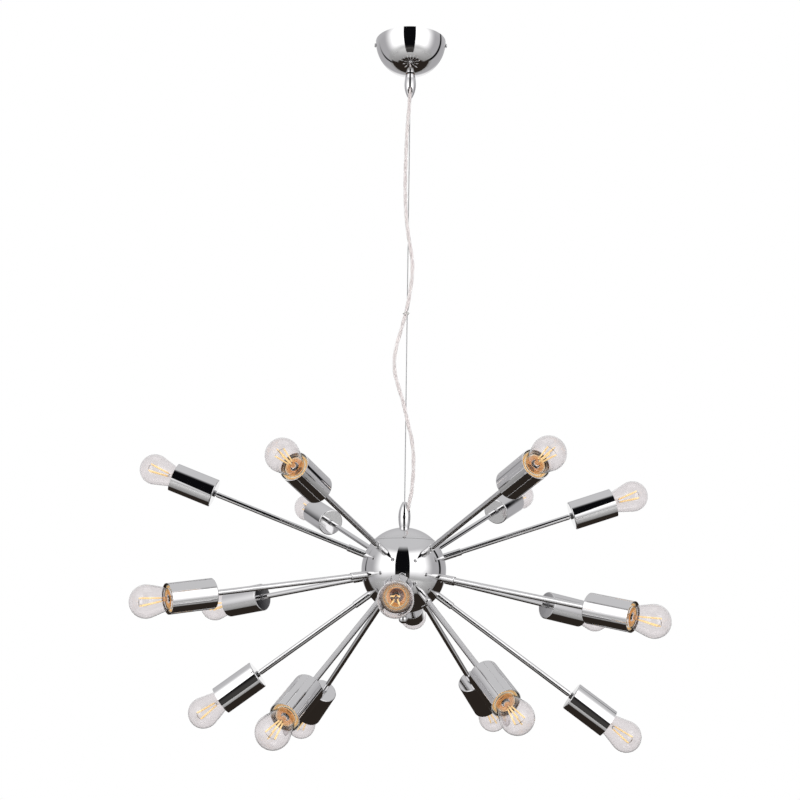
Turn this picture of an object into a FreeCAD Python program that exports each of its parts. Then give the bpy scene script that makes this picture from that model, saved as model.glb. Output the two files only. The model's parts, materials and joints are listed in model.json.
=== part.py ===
import FreeCAD, Part
import Sketcher
import math
import os

# Sputnik chandelier. Millimetres and degrees. The origin is the centre of the canopy's rim on the
# ceiling plane, +Z is up, so that everything but the ceiling strap's top hangs below zero.
# The viewer of the photograph stands on the -Y side.

doc = FreeCAD.newDocument("sputnik_chandelier")
sizes = doc.addObject("Spreadsheet::Sheet", "sizes")

SIZES = (
    # alias, value, meaning
    ("drop", "830", "ceiling to the centre of the hub"),
    # canopy and ceiling strap
    ("canopy_radius", "55", "outside of the half ball"),
    ("canopy_wall", "1", "spun sheet"),
    ("canopy_hole", "7.1", "radius of the hole for the swinging stem"),
    ("side_screw_depth", "6", "side screws below the ceiling"),
    ("side_screw", "2", "radius of a side screw"),
    ("side_screw_head", "3.4", "radius of its head"),
    ("side_screw_head_height", "2.4", "its domed head"),
    ("side_screw_reach", "8", "length of its shank"),
    ("strap_thickness", "2", "sheet of the ceiling strap"),
    ("strap_width", "16", "width of the ceiling strap"),
    ("strap_gap", "2.5", "an ear from the canopy's inside, at the ceiling"),
    ("strap_bend", "3", "outer bend radius at an ear"),
    ("ear_depth", "11", "height of an ear"),
    ("slot_spacing", "60", "between the middles of the two slots"),
    ("slot_length", "14", "over its round ends"),
    ("slot_half_width", "2.3", "radius of its ends"),
    ("block_length", "22", "terminal block"),
    ("block_width", "14", "terminal block"),
    ("block_height", "11", "terminal block"),
    ("block_bore", "2.1", "radius of its wire bores"),
    ("block_pole", "7", "between its two wire bores"),
    ("block_screw", "1.5", "radius of its fixing screw"),
    ("block_screw_head", "2.8", "radius of the screw's head"),
    ("block_screw_head_height", "2", "height of the screw's head"),
    # swivel in the bottom of the canopy
    ("pivot_rise", "9.5", "swing centre above the lowest point of the canopy"),
    ("ball_radius", "8", "swivel ball"),
    ("ball_flat", "4.5", "its flats above and below the swing centre"),
    ("liner_wall", "1", "sheet of the liner round the ball"),
    ("liner_lip", "1", "liner and seat above the swing centre"),
    ("liner_hole", "6.5", "radius of the liner's lower hole"),
    ("seat_radius", "12.5", "outside of the seat ring"),
    ("swivel_clearance", "0.05", "between the balls and round the stem"),
    ("thread_radius", "5", "M10 threaded tube"),
    ("tube_bore", "3.5", "bore of the threaded tube"),
    ("thread_clearance", "0.05", "round a screwed tube"),
    ("seat_clearance", "0.05", "between pieces that seat on each other"),
    ("stem_above_nut", "1.5", "stem end above its nut"),
    ("big_nut", "9.8", "corner radius of an M10 nut"),
    ("big_nut_height", "5", "M10 nut"),
    # grips
    ("grip_gap", "1.2", "under the canopy, for the swing"),
    ("grip_length", "38", "base to tip"),
    ("grip_base", "7.2", "radius at the base"),
    ("grip_waist", "9", "largest radius"),
    ("grip_waist_height", "16", "largest radius above the base"),
    ("grip_tip", "3", "radius at the tip"),
    ("grip_thread_depth", "9", "thread hole in the base"),
    ("wire_radius", "0.75", "suspension wire"),
    ("wire_clearance", "0.1", "round the wire"),
    ("wire_bore_depth", "6", "wire bore in the tip"),
    ("socket_radius", "4", "cord socket"),
    ("socket_offset", "2.8", "middle of its bottom from the axis"),
    ("socket_height", "17.4", "middle of its bottom above the base"),
    ("socket_lean", "18", "degrees from the axis"),
    ("lower_grip_turn", "-35", "degrees, which way the lower socket looks"),
    # cord and tie
    ("cord_radius", "2.8", "twin cord"),
    ("cord_tuck", "1.5", "first bend of the cord, back from the reach of its socket"),
    ("tie_radius", "4.15", "bore of the tie round cord and wire"),
    ("tie_wall", "1", "tie"),
    ("tie_height", "2.5", "tie"),
    # hub
    ("hub_radius", "62.5", "outside of the hub ball"),
    ("hub_wall", "1.5", "hub shell"),
    ("cap_rise", "16.5", "top of the hub above the seam of its cap"),
    ("cap_wall", "1.2", "hub cap"),
    ("cap_collar", "1", "wall of the cap's locating collar"),
    ("cap_collar_depth", "3", "collar below the seam"),
    ("collar_clearance", "0.2", "round the collar"),
    ("rod_end", "3", "radius of the centre rod's thin lower end"),
    ("small_nut", "5.8", "corner radius of an M6 nut"),
    ("small_nut_height", "4", "M6 nut"),
    ("finial_radius", "6.5", "ball under the hub"),
    ("finial_drop", "8.5", "its centre below the hub"),
    ("finial_collar", "4.5", "radius of its collar"),
    # arms; the reaches are measured from the hub's centre
    ("upper_rise", "20", "upper tier above the horizon"),
    ("middle_rise", "-9", "middle tier"),
    ("lower_rise", "-35.5", "lower tier"),
    ("upper_start", "0", "azimuth of arm 1"),
    ("middle_start", "30", "azimuth of arm 1"),
    ("lower_start", "0", "azimuth of arm 1"),
    ("long_reach", "301", "base of a cup on a long arm"),
    ("short_reach", "260", "base of a cup on a short arm"),
    ("arm_radius", "4", "arm tube"),
    ("arm_bore", "3", "its bore"),
    ("arm_inset", "7.5", "its inner end under the hub's surface"),
    ("arm_clearance", "0.1", "round the arm tube"),
    ("sleeve_radius", "5.25", "sleeve at the hub"),
    ("sleeve_length", "26", "sleeve outside the hub"),
    ("sleeve_chamfer", "0.6", "its outer edge"),
    ("grub_radius", "1.5", "grub screw in the sleeve"),
    ("grub_inset", "6.5", "grub screw from the sleeve's outer end"),
    ("lock_nut", "7.5", "corner radius of the nut inside the hub"),
    ("lock_nut_height", "4", "nut inside the hub"),
    ("neck_gap", "4.5", "bare neck between arm tube and cup"),
    ("nipple_grip", "8", "nipple inside the arm tube"),
    ("nipple_end", "1", "nipple beyond the lampholder's base wall"),
    ("nipple_clearance", "0.05", "round the nipple"),
    ("cup_nut", "5.8", "corner radius of the nuts at the cup"),
    ("cup_nut_height", "4", "nut inside the cup"),
    ("neck_nut", "4.8", "corner radius of the nut outside the cup"),
    ("neck_nut_height", "2", "nut outside the cup"),
    # cups and lampholders, measured from the cup's base
    ("cup_radius", "21", "outside of a cup"),
    ("cup_length", "65", "base to mouth"),
    ("cup_wall", "1", "side wall"),
    ("cup_base", "1.2", "base wall"),
    ("cup_round", "1.6", "rounding of the base edge"),
    ("holder_radius", "18.5", "lampholder"),
    ("holder_recess", "4", "its rim inside the mouth"),
    ("holder_base", "3", "its base wall"),
    ("holder_bore_depth", "27.5", "cap socket from the rim"),
    ("holder_waist", "15.6", "its radius below the rim ring"),
    ("holder_ring", "12", "length of its rim ring"),
    ("holder_cavity", "11", "radius of the wiring space behind the socket"),
    ("holder_cavity_depth", "12", "depth of the wiring space"),
    ("contact_radius", "6", "contact plate"),
    ("contact_height", "1", "contact plate"),
    ("contact_pin", "2", "radius of the spring contact"),
    # bulbs, measured from the middle of the globe back to the cap
    ("bulb_radius", "22.5", "glass globe"),
    ("bulb_front", "30", "middle of the globe in front of the cup's mouth"),
    ("glass_wall", "0.8", "glass"),
    ("bulb_neck", "14.5", "radius where the glass meets the cap"),
    ("bulb_neck_length", "32", "globe middle to the cap"),
    ("bulb_cap", "13.2", "radius of the screw cap"),
    ("cap_clearance", "0.1", "round the screw cap"),
    ("bulb_cap_length", "22", "screw cap"),
    ("cap_bevel", "1", "edge of the cap round its bottom contact"),
    ("bulb_tip", "5", "radius of the bottom contact"),
    ("bulb_tip_length", "2", "insulator and bottom contact"),
    ("stem_radius", "4.5", "glass stem inside the bulb"),
    ("stem_top", "3.15", "radius of the stem's top"),
    ("stem_length", "16", "glass stem inside the bulb"),
    ("filament_radius", "0.9", "filament stick"),
    ("filament_length", "22", "filament stick"),
    ("filament_circle", "2", "feet of the sticks round the axis"),
    ("filament_sink", "0.5", "feet of the sticks in the stem"),
    ("filament_splay", "9", "degrees outward"),
    # for all pieces
    ("nut_bevel", "0.93", "flat end of a nut, as a share of its corner radius"),
    ("overcut", "5", "how far a cutting form passes what it cuts"),
)

# Every arm is screwed in by hand and stands a little off its even place: how far it turns aside and
# how far it lifts, in degrees.
ARMS = {
    # reach, aside, lift of arms 1 to 6
    "upper": (
        ("short", "0", "-1.5"),
        ("long", "-2", "2"),
        ("short", "0", "0"),
        ("long", "2.5", "1"),
        ("short", "2.5", "0.5"),
        ("long", "-1", "-1.5"),
    ),
    "middle": (
        ("short", "0.5", "-0.5"),
        ("long", "-2", "1"),
        ("short", "-1", "1"),
        ("long", "0.5", "0.5"),
        ("short", "-1", "-0.5"),
        ("long", "-2", "-2"),
    ),
    "lower": (
        ("long", "-0.5", "-0.5"),
        ("short", "-1", "-2.5"),
        ("long", "1.5", "-1"),
        ("short", "-2", "-0.5"),
        ("long", "2", "2"),
        ("short", "0", "1.5"),
    ),
}

# Where the cord touches the wire and is tied to it.
TIE_POINT = (-2.0, -3.7, -443)

# The free part of the cord, from the upper grip's socket to the lower one's: how far each point
# stands from the wire, and its height.
CORD_ROUTE = (
    (-4.0, -9.8, -152),
    (-6.0, -6.0, -225),
    (-4.6, -6.3, -279),
    (0.2, -6.8, -323),
    (8.6, -3.0, -366),
    (4.0, -3.6, -412),
    TIE_POINT,
    (-9.4, -2.2, -471),
    (-16.6, -0.4, -496),
    (-19.3, 0.6, -521),
    (-15.6, -1.4, -545),
    (-4.2, -5.8, -579),
    (2.8, -7.2, -611),
    (10.0, -5.6, -638),
    (12.6, -4.6, -664),
    (12.2, -5.8, -693),
)

ALONG_Z = FreeCAD.Rotation()
ALONG_X = FreeCAD.Rotation(FreeCAD.Vector(0, 1, 0), 90)

row = 0
for alias, number, meaning in SIZES:
    row += 1
    sizes.set(f"A{row}", meaning)
    sizes.set(f"B{row}", number)
    sizes.setAlias(f"B{row}", alias)
for tier, arms in ARMS.items():
    for number, (reach, aside, lift) in enumerate(arms, 1):
        row += 1
        sizes.set(f"A{row}", f"{tier} arm {number} aside and lift")
        sizes.set(f"B{row}", aside)
        sizes.setAlias(f"B{row}", f"{tier}_{number}_aside")
        sizes.set(f"C{row}", lift)
        sizes.setAlias(f"C{row}", f"{tier}_{number}_lift")
doc.recompute()

parts = []


def value(expression):
    """The number that an expression of the sheet's sizes comes to."""
    found = sizes.evalExpression(str(expression))
    return float(getattr(found, "Value", found))


def keep(piece, label):
    """Marks a piece as a sub-part of its own, under its name."""
    piece.Label = label
    parts.append(piece)
    return piece


def place(piece, x="0", y="0", z="0", rotation=None):
    """Sets where a piece stands from expressions, and how it is turned."""
    piece.Placement = FreeCAD.Placement(FreeCAD.Vector(), rotation or piece.Placement.Rotation)
    for axis, expression in (("x", x), ("y", y), ("z", z)):
        if expression != "0":
            piece.setExpression(f"Placement.Base.{axis}", expression)
    return piece


def cylinder(name, radius, start, end, axis=ALONG_Z, x="0", y="0"):
    """A cylinder from start to end along Z, or along X."""
    piece = doc.addObject("Part::Cylinder", name)
    piece.setExpression("Radius", radius)
    piece.setExpression("Height", f"({end}) - ({start})")
    if axis is ALONG_Z:
        return place(piece, x, y, start, axis)
    return place(piece, start, y, x, axis)


def cone(name, start_radius, end_radius, start, end, axis=ALONG_Z):
    """A cone from start to end along Z, or along X."""
    piece = doc.addObject("Part::Cone", name)
    piece.setExpression("Radius1", start_radius)
    piece.setExpression("Radius2", end_radius)
    piece.setExpression("Height", f"({end}) - ({start})")
    if axis is ALONG_Z:
        return place(piece, z=start, rotation=axis)
    return place(piece, x=start, rotation=axis)


def ball(name, radius, height="0"):
    """A ball with its centre on the Z axis."""
    piece = doc.addObject("Part::Sphere", name)
    piece.setExpression("Radius", radius)
    return place(piece, z=height)


def nut(name, corner_radius, bore, start, end, axis=ALONG_Z):
    """A hexagon nut with a plain bore and bevelled corners."""
    block = doc.addObject("Part::Prism", name + "_block")
    block.Polygon = 6
    block.setExpression("Circumradius", corner_radius)
    block.setExpression("Height", f"({end}) - ({start})")
    wide = f"({corner_radius}) + ({end}) - ({start})"
    bevel = cone(name + "_bevel", wide, f"({corner_radius}) * sizes.nut_bevel", start, end, axis)
    hole = cylinder(name + "_hole", bore, start, end, axis)
    if axis is ALONG_Z:
        place(block, z=start, rotation=axis)
    else:
        place(block, x=start, rotation=axis)
    return cut(name, common(name + "_body", block, bevel), hole)


def fuse(name, *pieces):
    piece = doc.addObject("Part::MultiFuse", name)
    piece.Shapes = list(pieces)
    return piece


def common(name, *pieces):
    piece = doc.addObject("Part::MultiCommon", name)
    piece.Shapes = list(pieces)
    return piece


def cut(name, base, *tools):
    piece = doc.addObject("Part::Cut", name)
    piece.Base = base
    piece.Tool = tools[0] if len(tools) == 1 else fuse(name + "_tools", *tools)
    return piece


def group(name, pieces):
    piece = doc.addObject("Part::Compound", name)
    piece.Links = list(pieces)
    return piece


def plane(body, role):
    return next(item for item in body.Origin.OriginFeatures if item.Role == role)


def hold_point(drawing, edge, end, across, up):
    """Holds a point of a sketch at two expressions, or on an axis where one of them is 0."""
    for kind, expression, axis in (("DistanceX", across, -2), ("DistanceY", up, -1)):
        if expression == "0":
            drawing.addConstraint(Sketcher.Constraint("PointOnObject", edge, end, axis))
            continue
        number = drawing.addConstraint(Sketcher.Constraint(kind, -1, 1, edge, end, value(expression)))
        drawing.setExpression(f"Constraints[{number}]", expression)


def outline_sketch(body, name, role, corners):
    """
    A closed outline on one of the body's own planes. A corner is (across, up), or
    (across, up, radius, side) where the edge that leaves it is an arc: side 1 has the arc's centre
    on the left of the way to the next corner, and -1 on the right.
    """
    drawing = body.newObject("Sketcher::SketchObject", name)
    drawing.AttachmentSupport = [(plane(body, role), "")]
    drawing.MapMode = "FlatFace"
    count = len(corners)
    places = [FreeCAD.Vector(value(corner[0]), value(corner[1]), 0) for corner in corners]
    first_ends = []
    last_ends = []
    for number, corner in enumerate(corners):
        start = places[number]
        end = places[(number + 1) % count]
        if len(corner) == 2:
            drawing.addGeometry(Part.LineSegment(start, end))
            first_ends.append(1)
            last_ends.append(2)
            continue
        radius = value(corner[2])
        side = corner[3]
        chord = end - start
        left = FreeCAD.Vector(-chord.y, chord.x, 0) / chord.Length
        middle = (start + end) / 2 + left * side * math.sqrt(radius**2 - chord.Length**2 / 4)
        turned = (start, end) if side == 1 else (end, start)
        angles = [math.atan2(point.y - middle.y, point.x - middle.x) for point in turned]
        if angles[1] < angles[0]:
            angles[1] += 2 * math.pi
        circle = Part.Circle(middle, FreeCAD.Vector(0, 0, 1), radius)
        drawing.addGeometry(Part.ArcOfCircle(circle, angles[0], angles[1]))
        first_ends.append(1 if side == 1 else 2)
        last_ends.append(2 if side == 1 else 1)
    for number, corner in enumerate(corners):
        before = number - 1 if number else count - 1
        drawing.addConstraint(
            Sketcher.Constraint("Coincident", before, last_ends[before], number, first_ends[number])
        )
        hold_point(drawing, number, first_ends[number], corner[0], corner[1])
        if len(corner) > 2:
            held = drawing.addConstraint(Sketcher.Constraint("Radius", number, value(corner[2])))
            drawing.setExpression(f"Constraints[{held}]", corner[2])
    return drawing


def turned(name, corners):
    """A body turned about its own Z axis, from an outline of (radius, height) corners."""
    body = doc.addObject("PartDesign::Body", name)
    outline = outline_sketch(body, name + "_outline", "XZ_Plane", corners)
    revolution = body.newObject("PartDesign::Revolution", name + "_revolution")
    revolution.Profile = outline
    revolution.ReferenceAxis = (outline, ["V_Axis"])
    revolution.Angle = 360
    return body


def copy(name, piece, position, rotation, then=None):
    """A linked copy of a piece, at a position and rotation given by expressions."""
    link = doc.addObject("App::Link", name)
    link.LinkedObject = piece
    link.LinkTransform = True
    expression = f"placement(vector({position}); rotation({rotation}))"
    if then:
        expression += f" * placement(vector({then}); rotation(0; 0; 0))"
    link.setExpression("Placement", expression)
    return link


# --- ceiling strap: a bar with two slots and an ear turned down at each end --------------------
strap_length = "(2 * (sizes.canopy_radius - sizes.canopy_wall - sizes.strap_gap))"
strap = doc.addObject("PartDesign::Body", "strap")
strap_outline = outline_sketch(
    strap,
    "strap_outline",
    "XZ_Plane",
    [
        ("0", "0"),
        ("sizes.strap_thickness", "0"),
        (
            "sizes.strap_thickness",
            "sizes.ear_depth - sizes.strap_bend",
            "sizes.strap_bend - sizes.strap_thickness",
            -1,
        ),
        ("sizes.strap_bend", "sizes.ear_depth - sizes.strap_thickness"),
        (
            f"{strap_length} - sizes.strap_bend",
            "sizes.ear_depth - sizes.strap_thickness",
            "sizes.strap_bend - sizes.strap_thickness",
            -1,
        ),
        (f"{strap_length} - sizes.strap_thickness", "sizes.ear_depth - sizes.strap_bend"),
        (f"{strap_length} - sizes.strap_thickness", "0"),
        (strap_length, "0"),
        (strap_length, "sizes.ear_depth - sizes.strap_bend", "sizes.strap_bend", 1),
        (f"{strap_length} - sizes.strap_bend", "sizes.ear_depth"),
        ("sizes.strap_bend", "sizes.ear_depth", "sizes.strap_bend", 1),
        ("0", "sizes.ear_depth - sizes.strap_bend"),
    ],
)
strap_pad = strap.newObject("PartDesign::Pad", "strap_pad")
strap_pad.Profile = strap_outline
strap_pad.SideType = "Symmetric"
strap_pad.setExpression("Length", "sizes.strap_width")
doc.recompute()
place(strap, x=f"-{strap_length} / 2", z="-sizes.ear_depth")
slot_half = "sizes.slot_length / 2 - sizes.slot_half_width"
slot_ends = []
for side, across in (("left", f"-({slot_half})"), ("right", slot_half)):
    slot_ends.append(
        cylinder(
            f"slot_end_{side}", "sizes.slot_half_width", "-sizes.ear_depth", "sizes.overcut", x=across
        )
    )
slot_middle = doc.addObject("Part::Box", "slot_middle")
slot_middle.setExpression("Length", f"2 * ({slot_half})")
slot_middle.setExpression("Width", "2 * sizes.slot_half_width")
slot_middle.setExpression("Height", "sizes.ear_depth + sizes.overcut")
place(slot_middle, f"-({slot_half})", "-sizes.slot_half_width", "-sizes.ear_depth")
slot = fuse("slot", slot_middle, *slot_ends)
slots = [
    copy("slot_left", slot, "-sizes.slot_spacing / 2; 0; 0", "0; 0; 0"),
    copy("slot_right", slot, "sizes.slot_spacing / 2; 0; 0", "0; 0; 0"),
]
ear_bore = cylinder(
    "ear_bore",
    "sizes.side_screw + sizes.thread_clearance",
    f"-{strap_length}",
    strap_length,
    ALONG_X,
    "-sizes.side_screw_depth",
)
block_tap = cylinder(
    "block_tap", "sizes.block_screw + sizes.thread_clearance", "-sizes.ear_depth", "sizes.overcut"
)
strap_cut = cut("strap_cut", strap, ear_bore, block_tap, *slots)
keep(strap_cut, "mounting_bracket")

# --- terminal block under the strap, and its fixing screw --------------------------------------
block_top = "-sizes.strap_thickness"
block_bottom = "-sizes.strap_thickness - sizes.block_height"
block_body = doc.addObject("PartDesign::Body", "block_body")
block_outline = outline_sketch(
    block_body,
    "block_outline",
    "XY_Plane",
    [
        ("0", "0"),
        ("sizes.block_length", "0"),
        ("sizes.block_length", "sizes.block_width"),
        ("0", "sizes.block_width"),
    ],
)
block_pad = block_body.newObject("PartDesign::Pad", "block_pad")
block_pad.Profile = block_outline
block_pad.setExpression("Length", "sizes.block_height")
place(block_body, "-sizes.block_length / 2", "-sizes.block_width / 2", block_bottom)
block_middle = "-sizes.strap_thickness - sizes.block_height / 2"
pole_bores = []
for side, sign in (("near", "-"), ("far", "")):
    pole_bores.append(
        cylinder(
            f"pole_{side}",
            "sizes.block_bore",
            "-sizes.block_length",
            "sizes.block_length",
            ALONG_X,
            block_middle,
            f"{sign}sizes.block_pole / 2",
        )
    )
block_hole = cylinder("block_hole", "sizes.block_screw + sizes.thread_clearance", block_bottom, "0")
block_recess = cylinder(
    "block_recess",
    "sizes.block_screw_head + sizes.wire_clearance",
    block_bottom,
    block_bottom + " + sizes.block_screw_head_height + sizes.seat_clearance",
)
keep(cut("block_cut", block_body, block_hole, block_recess, *pole_bores), "terminal_block")
block_screw_shank = cylinder("block_screw_shank", "sizes.block_screw", block_bottom, "0")
block_screw_top = cylinder(
    "block_screw_top",
    "sizes.block_screw_head",
    block_bottom,
    block_bottom + " + sizes.block_screw_head_height",
)
keep(fuse("block_screw", block_screw_shank, block_screw_top), "terminal_block_screw")

# --- canopy: a spun half ball with a hole at the bottom and two side holes ----------------------
canopy_outer = ball("canopy_outer", "sizes.canopy_radius")
canopy_inner = ball("canopy_inner", "sizes.canopy_radius - sizes.canopy_wall")
past_canopy = "sizes.canopy_radius + sizes.overcut"
above_ceiling = cylinder("above_ceiling", past_canopy, "0", past_canopy)
stem_opening = cylinder("stem_opening", "sizes.canopy_hole", f"-({past_canopy})", "0")
side_openings = cylinder(
    "side_openings",
    "sizes.side_screw + sizes.arm_clearance",
    f"-({past_canopy})",
    past_canopy,
    ALONG_X,
    "-sizes.side_screw_depth",
)
canopy = cut("canopy_cut", canopy_outer, canopy_inner, above_ceiling, stem_opening, side_openings)
keep(canopy, "canopy")

# --- side screws: domed heads seated on the canopy, shanks through the ears ----------------------
screw_seat = (
    "sqrt(sizes.canopy_radius ^ 2 - (sizes.side_screw_depth - sizes.side_screw_head) ^ 2)"
    " + sizes.seat_clearance"
)
side_screw = turned(
    "side_screw",
    [
        ("0", "0"),
        ("sizes.side_screw", "0"),
        ("sizes.side_screw", "sizes.side_screw_reach"),
        ("sizes.side_screw_head", "sizes.side_screw_reach"),
        ("sizes.side_screw_head", "sizes.side_screw_reach + sizes.side_screw_head_height / 3"),
        ("sizes.side_screw_head * 0.75", "sizes.side_screw_reach + sizes.side_screw_head_height * 0.85"),
        ("sizes.side_screw_head * 0.4", "sizes.side_screw_reach + sizes.side_screw_head_height"),
        ("0", "sizes.side_screw_reach + sizes.side_screw_head_height"),
    ],
)
screw_start = f"{screw_seat} - sizes.side_screw_reach"
right_screw = copy("right_screw", side_screw, f"{screw_start}; 0; -sizes.side_screw_depth", "0; 90; 0")
left_screw = copy("left_screw", side_screw, f"-({screw_start}); 0; -sizes.side_screw_depth", "0; -90; 0")
keep(group("side_screws", [right_screw, left_screw]), "canopy_screws")

# --- swivel: seat ring on the canopy's bottom, liner, ball ---------------------------------------
pivot = "sizes.pivot_rise - sizes.canopy_radius"
liner_outer = "sizes.ball_radius + sizes.swivel_clearance + sizes.liner_wall"
seat_height = f"{pivot} + sizes.liner_lip"
seat_block = cylinder("seat_block", "sizes.seat_radius", "-sizes.canopy_radius", seat_height)
seat_dish = ball("seat_dish", "sizes.canopy_radius - sizes.canopy_wall - sizes.seat_clearance")
seat_socket = ball("seat_socket", f"{liner_outer} + sizes.swivel_clearance", pivot)
seat_hole = cylinder("seat_hole", "sizes.canopy_hole", "-sizes.canopy_radius", pivot)
seat = cut("seat_cut", common("seat_ring", seat_block, seat_dish), seat_socket, seat_hole)
keep(seat, "swivel_seat")
liner_ball = ball("liner_ball", liner_outer, pivot)
liner_socket = ball("liner_socket", "sizes.ball_radius + sizes.swivel_clearance", pivot)
liner_hole = cylinder("liner_hole", "sizes.liner_hole", "-sizes.canopy_radius", pivot)
liner_top = cylinder("liner_top", "sizes.seat_radius", seat_height, "0")
keep(cut("liner_cut", liner_ball, liner_socket, liner_hole, liner_top), "swivel_liner")
ball_whole = ball("ball_whole", "sizes.ball_radius", pivot)
ball_band = cylinder(
    "ball_band", "sizes.seat_radius", f"{pivot} - sizes.ball_flat", f"{pivot} + sizes.ball_flat"
)
ball_bore = cylinder(
    "ball_bore", "sizes.thread_radius + sizes.thread_clearance", "-sizes.canopy_radius", "0"
)
keep(cut("ball_cut", common("ball_truncated", ball_whole, ball_band), ball_bore), "swivel_ball")

# --- stem and its nut -----------------------------------------------------------------------------
nut_start = f"{pivot} + sizes.ball_flat + sizes.seat_clearance"
nut_end = f"{nut_start} + sizes.big_nut_height"
upper_base = "-sizes.canopy_radius - sizes.grip_gap"
stem_solid = cylinder(
    "stem_solid",
    "sizes.thread_radius",
    f"{upper_base} - sizes.grip_thread_depth + sizes.seat_clearance",
    f"{nut_end} + sizes.stem_above_nut",
)
stem_bore = cylinder("stem_bore", "sizes.tube_bore", f"{upper_base} - sizes.grip_length", "0")
keep(cut("stem_cut", stem_solid, stem_bore), "swivel_stem")
big_bore = "sizes.thread_radius + sizes.thread_clearance"
keep(nut("stem_nut_body", "sizes.big_nut", big_bore, nut_start, nut_end), "stem_nut")

# --- grips: pear-shaped turned pieces with a thread hole, a wire bore and a leaning cord socket ---
lower_arc = (
    "(sizes.grip_waist_height ^ 2 + (sizes.grip_waist - sizes.grip_base) ^ 2)"
    " / (2 * (sizes.grip_waist - sizes.grip_base))"
)
upper_arc = (
    "((sizes.grip_length - sizes.grip_waist_height) ^ 2 + (sizes.grip_waist - sizes.grip_tip) ^ 2)"
    " / (2 * (sizes.grip_waist - sizes.grip_tip))"
)
grip_hole = "sizes.thread_radius + sizes.thread_clearance"
wire_bore = "sizes.wire_radius + sizes.wire_clearance"
wire_bottom = "sizes.grip_length - sizes.wire_bore_depth"
grip_body = turned(
    "grip_body",
    [
        ("0", "sizes.grip_thread_depth"),
        (grip_hole, "sizes.grip_thread_depth"),
        (grip_hole, "0"),
        ("sizes.grip_base", "0", lower_arc, 1),
        ("sizes.grip_waist", "sizes.grip_waist_height", upper_arc, 1),
        ("sizes.grip_tip", "sizes.grip_length"),
        (wire_bore, "sizes.grip_length"),
        (wire_bore, wire_bottom),
        ("0", wire_bottom),
    ],
)
socket = doc.addObject("Part::Cylinder", "socket")
socket.setExpression("Radius", "sizes.socket_radius")
socket.setExpression("Height", "sizes.grip_length")
socket.setExpression(
    "Placement",
    "placement(vector(sizes.socket_offset; 0; sizes.socket_height); rotation(0; sizes.socket_lean; 0))",
)
grip = cut("grip", grip_body, socket)
upper_grip = copy("upper_grip_copy", grip, f"0; 0; {upper_base}", "-90; 0; 180")
keep(group("upper_grip_piece", [upper_grip]), "upper_grip")
hub_seat = "(sizes.hub_radius + sizes.seat_clearance)"
lower_base = f"sqrt({hub_seat} ^ 2 - sizes.grip_base ^ 2) - sizes.drop"
lower_grip = copy("lower_grip_copy", grip, f"0; 0; {lower_base}", "sizes.lower_grip_turn; 0; 0")
hub_top = ball("hub_top", hub_seat, "-sizes.drop")
keep(cut("lower_grip_piece", lower_grip, hub_top), "lower_grip")

# --- suspension wire, stretched between the two bores ---------------------------------------------
wire_start = f"{lower_base} + {wire_bottom}"
wire_end = f"{upper_base} - ({wire_bottom})"
keep(cylinder("wire", "sizes.wire_radius", wire_start, wire_end), "suspension_wire")

# --- supply cord: straight runs joined by tangent arcs --------------------------------------------
# The first two and the last two points lie on the axes of the two sockets.
lean = math.radians(value("sizes.socket_lean"))
run_length = (value("sizes.grip_length") - value("sizes.socket_height") / 2) / math.cos(lean)
run_length -= value("sizes.cord_tuck")
bottom = FreeCAD.Vector(value("sizes.socket_offset"), 0, value("sizes.socket_height"))
outward = FreeCAD.Vector(math.sin(lean), 0, math.cos(lean))
upper_turn = FreeCAD.Rotation(-90, 0, 180)
lower_turn = FreeCAD.Rotation(value("sizes.lower_grip_turn"), 0, 0)
upper_at = FreeCAD.Vector(0, 0, value(upper_base))
lower_at = FreeCAD.Vector(0, 0, value(lower_base))
route = [
    upper_at + upper_turn.multVec(bottom),
    upper_at + upper_turn.multVec(bottom + outward * run_length),
]
route += [FreeCAD.Vector(*point) for point in CORD_ROUTE]
route += [
    lower_at + lower_turn.multVec(bottom + outward * run_length),
    lower_at + lower_turn.multVec(bottom),
]


def rounded_path(points):
    """Straight runs joined by arcs, each as large as its two runs allow, and the arcs' radii."""
    edges = []
    radii = []
    last = points[0]
    for before, corner, after in zip(points, points[1:], points[2:]):
        into = (corner - before).normalize()
        away = (after - corner).normalize()
        shorter = min((corner - before).Length, (after - corner).Length)
        half_turn = into.getAngle(away) / 2
        radius = 0.45 * shorter / math.tan(half_turn)
        arc_start = corner - into * 0.45 * shorter
        arc_end = corner + away * 0.45 * shorter
        inward = (away - into).normalize()
        arc_middle = corner + inward * (radius / math.cos(half_turn) - radius)
        edges.append(Part.LineSegment(last, arc_start).toShape())
        edges.append(Part.Arc(arc_start, arc_middle, arc_end).toShape())
        radii.append(radius)
        last = arc_end
    edges.append(Part.LineSegment(last, points[-1]).toShape())
    return Part.Wire(edges), radii


path, radii = rounded_path(route)
section = Part.Circle(route[0], route[1] - route[0], value("sizes.cord_radius")).toShape()
cord = doc.addObject("Part::Feature", "cord")
cord.Shape = path.makePipeShell([Part.Wire([section])], True, False)
keep(cord, "supply_cord")
print("cord length", round(path.Length, 1), "least radius", round(min(radii), 1))
print("cord radii", [round(radius) for radius in radii])
print("cord volume / (section * length)", round(
    cord.Shape.Volume / (math.pi * value("sizes.cord_radius") ** 2 * path.Length), 5
))

# --- tie: a small ring round the cord and the wire where they touch --------------------------------
tie_x, tie_y, tie_z = TIE_POINT
tie_reach = math.hypot(tie_x, tie_y)
tie_share = (tie_reach + value("sizes.cord_radius - sizes.wire_radius")) / 2 / tie_reach
tie_ring = cylinder("tie_ring", "sizes.tie_radius + sizes.tie_wall", "0", "sizes.tie_height")
tie_bore = cylinder("tie_bore", "sizes.tie_radius", "0", "sizes.tie_height")
tie = cut("tie", tie_ring, tie_bore)
place(tie, str(tie_x * tie_share), str(tie_y * tie_share), f"{tie_z} - sizes.tie_height / 2")
keep(tie, "cord_tie")

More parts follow.
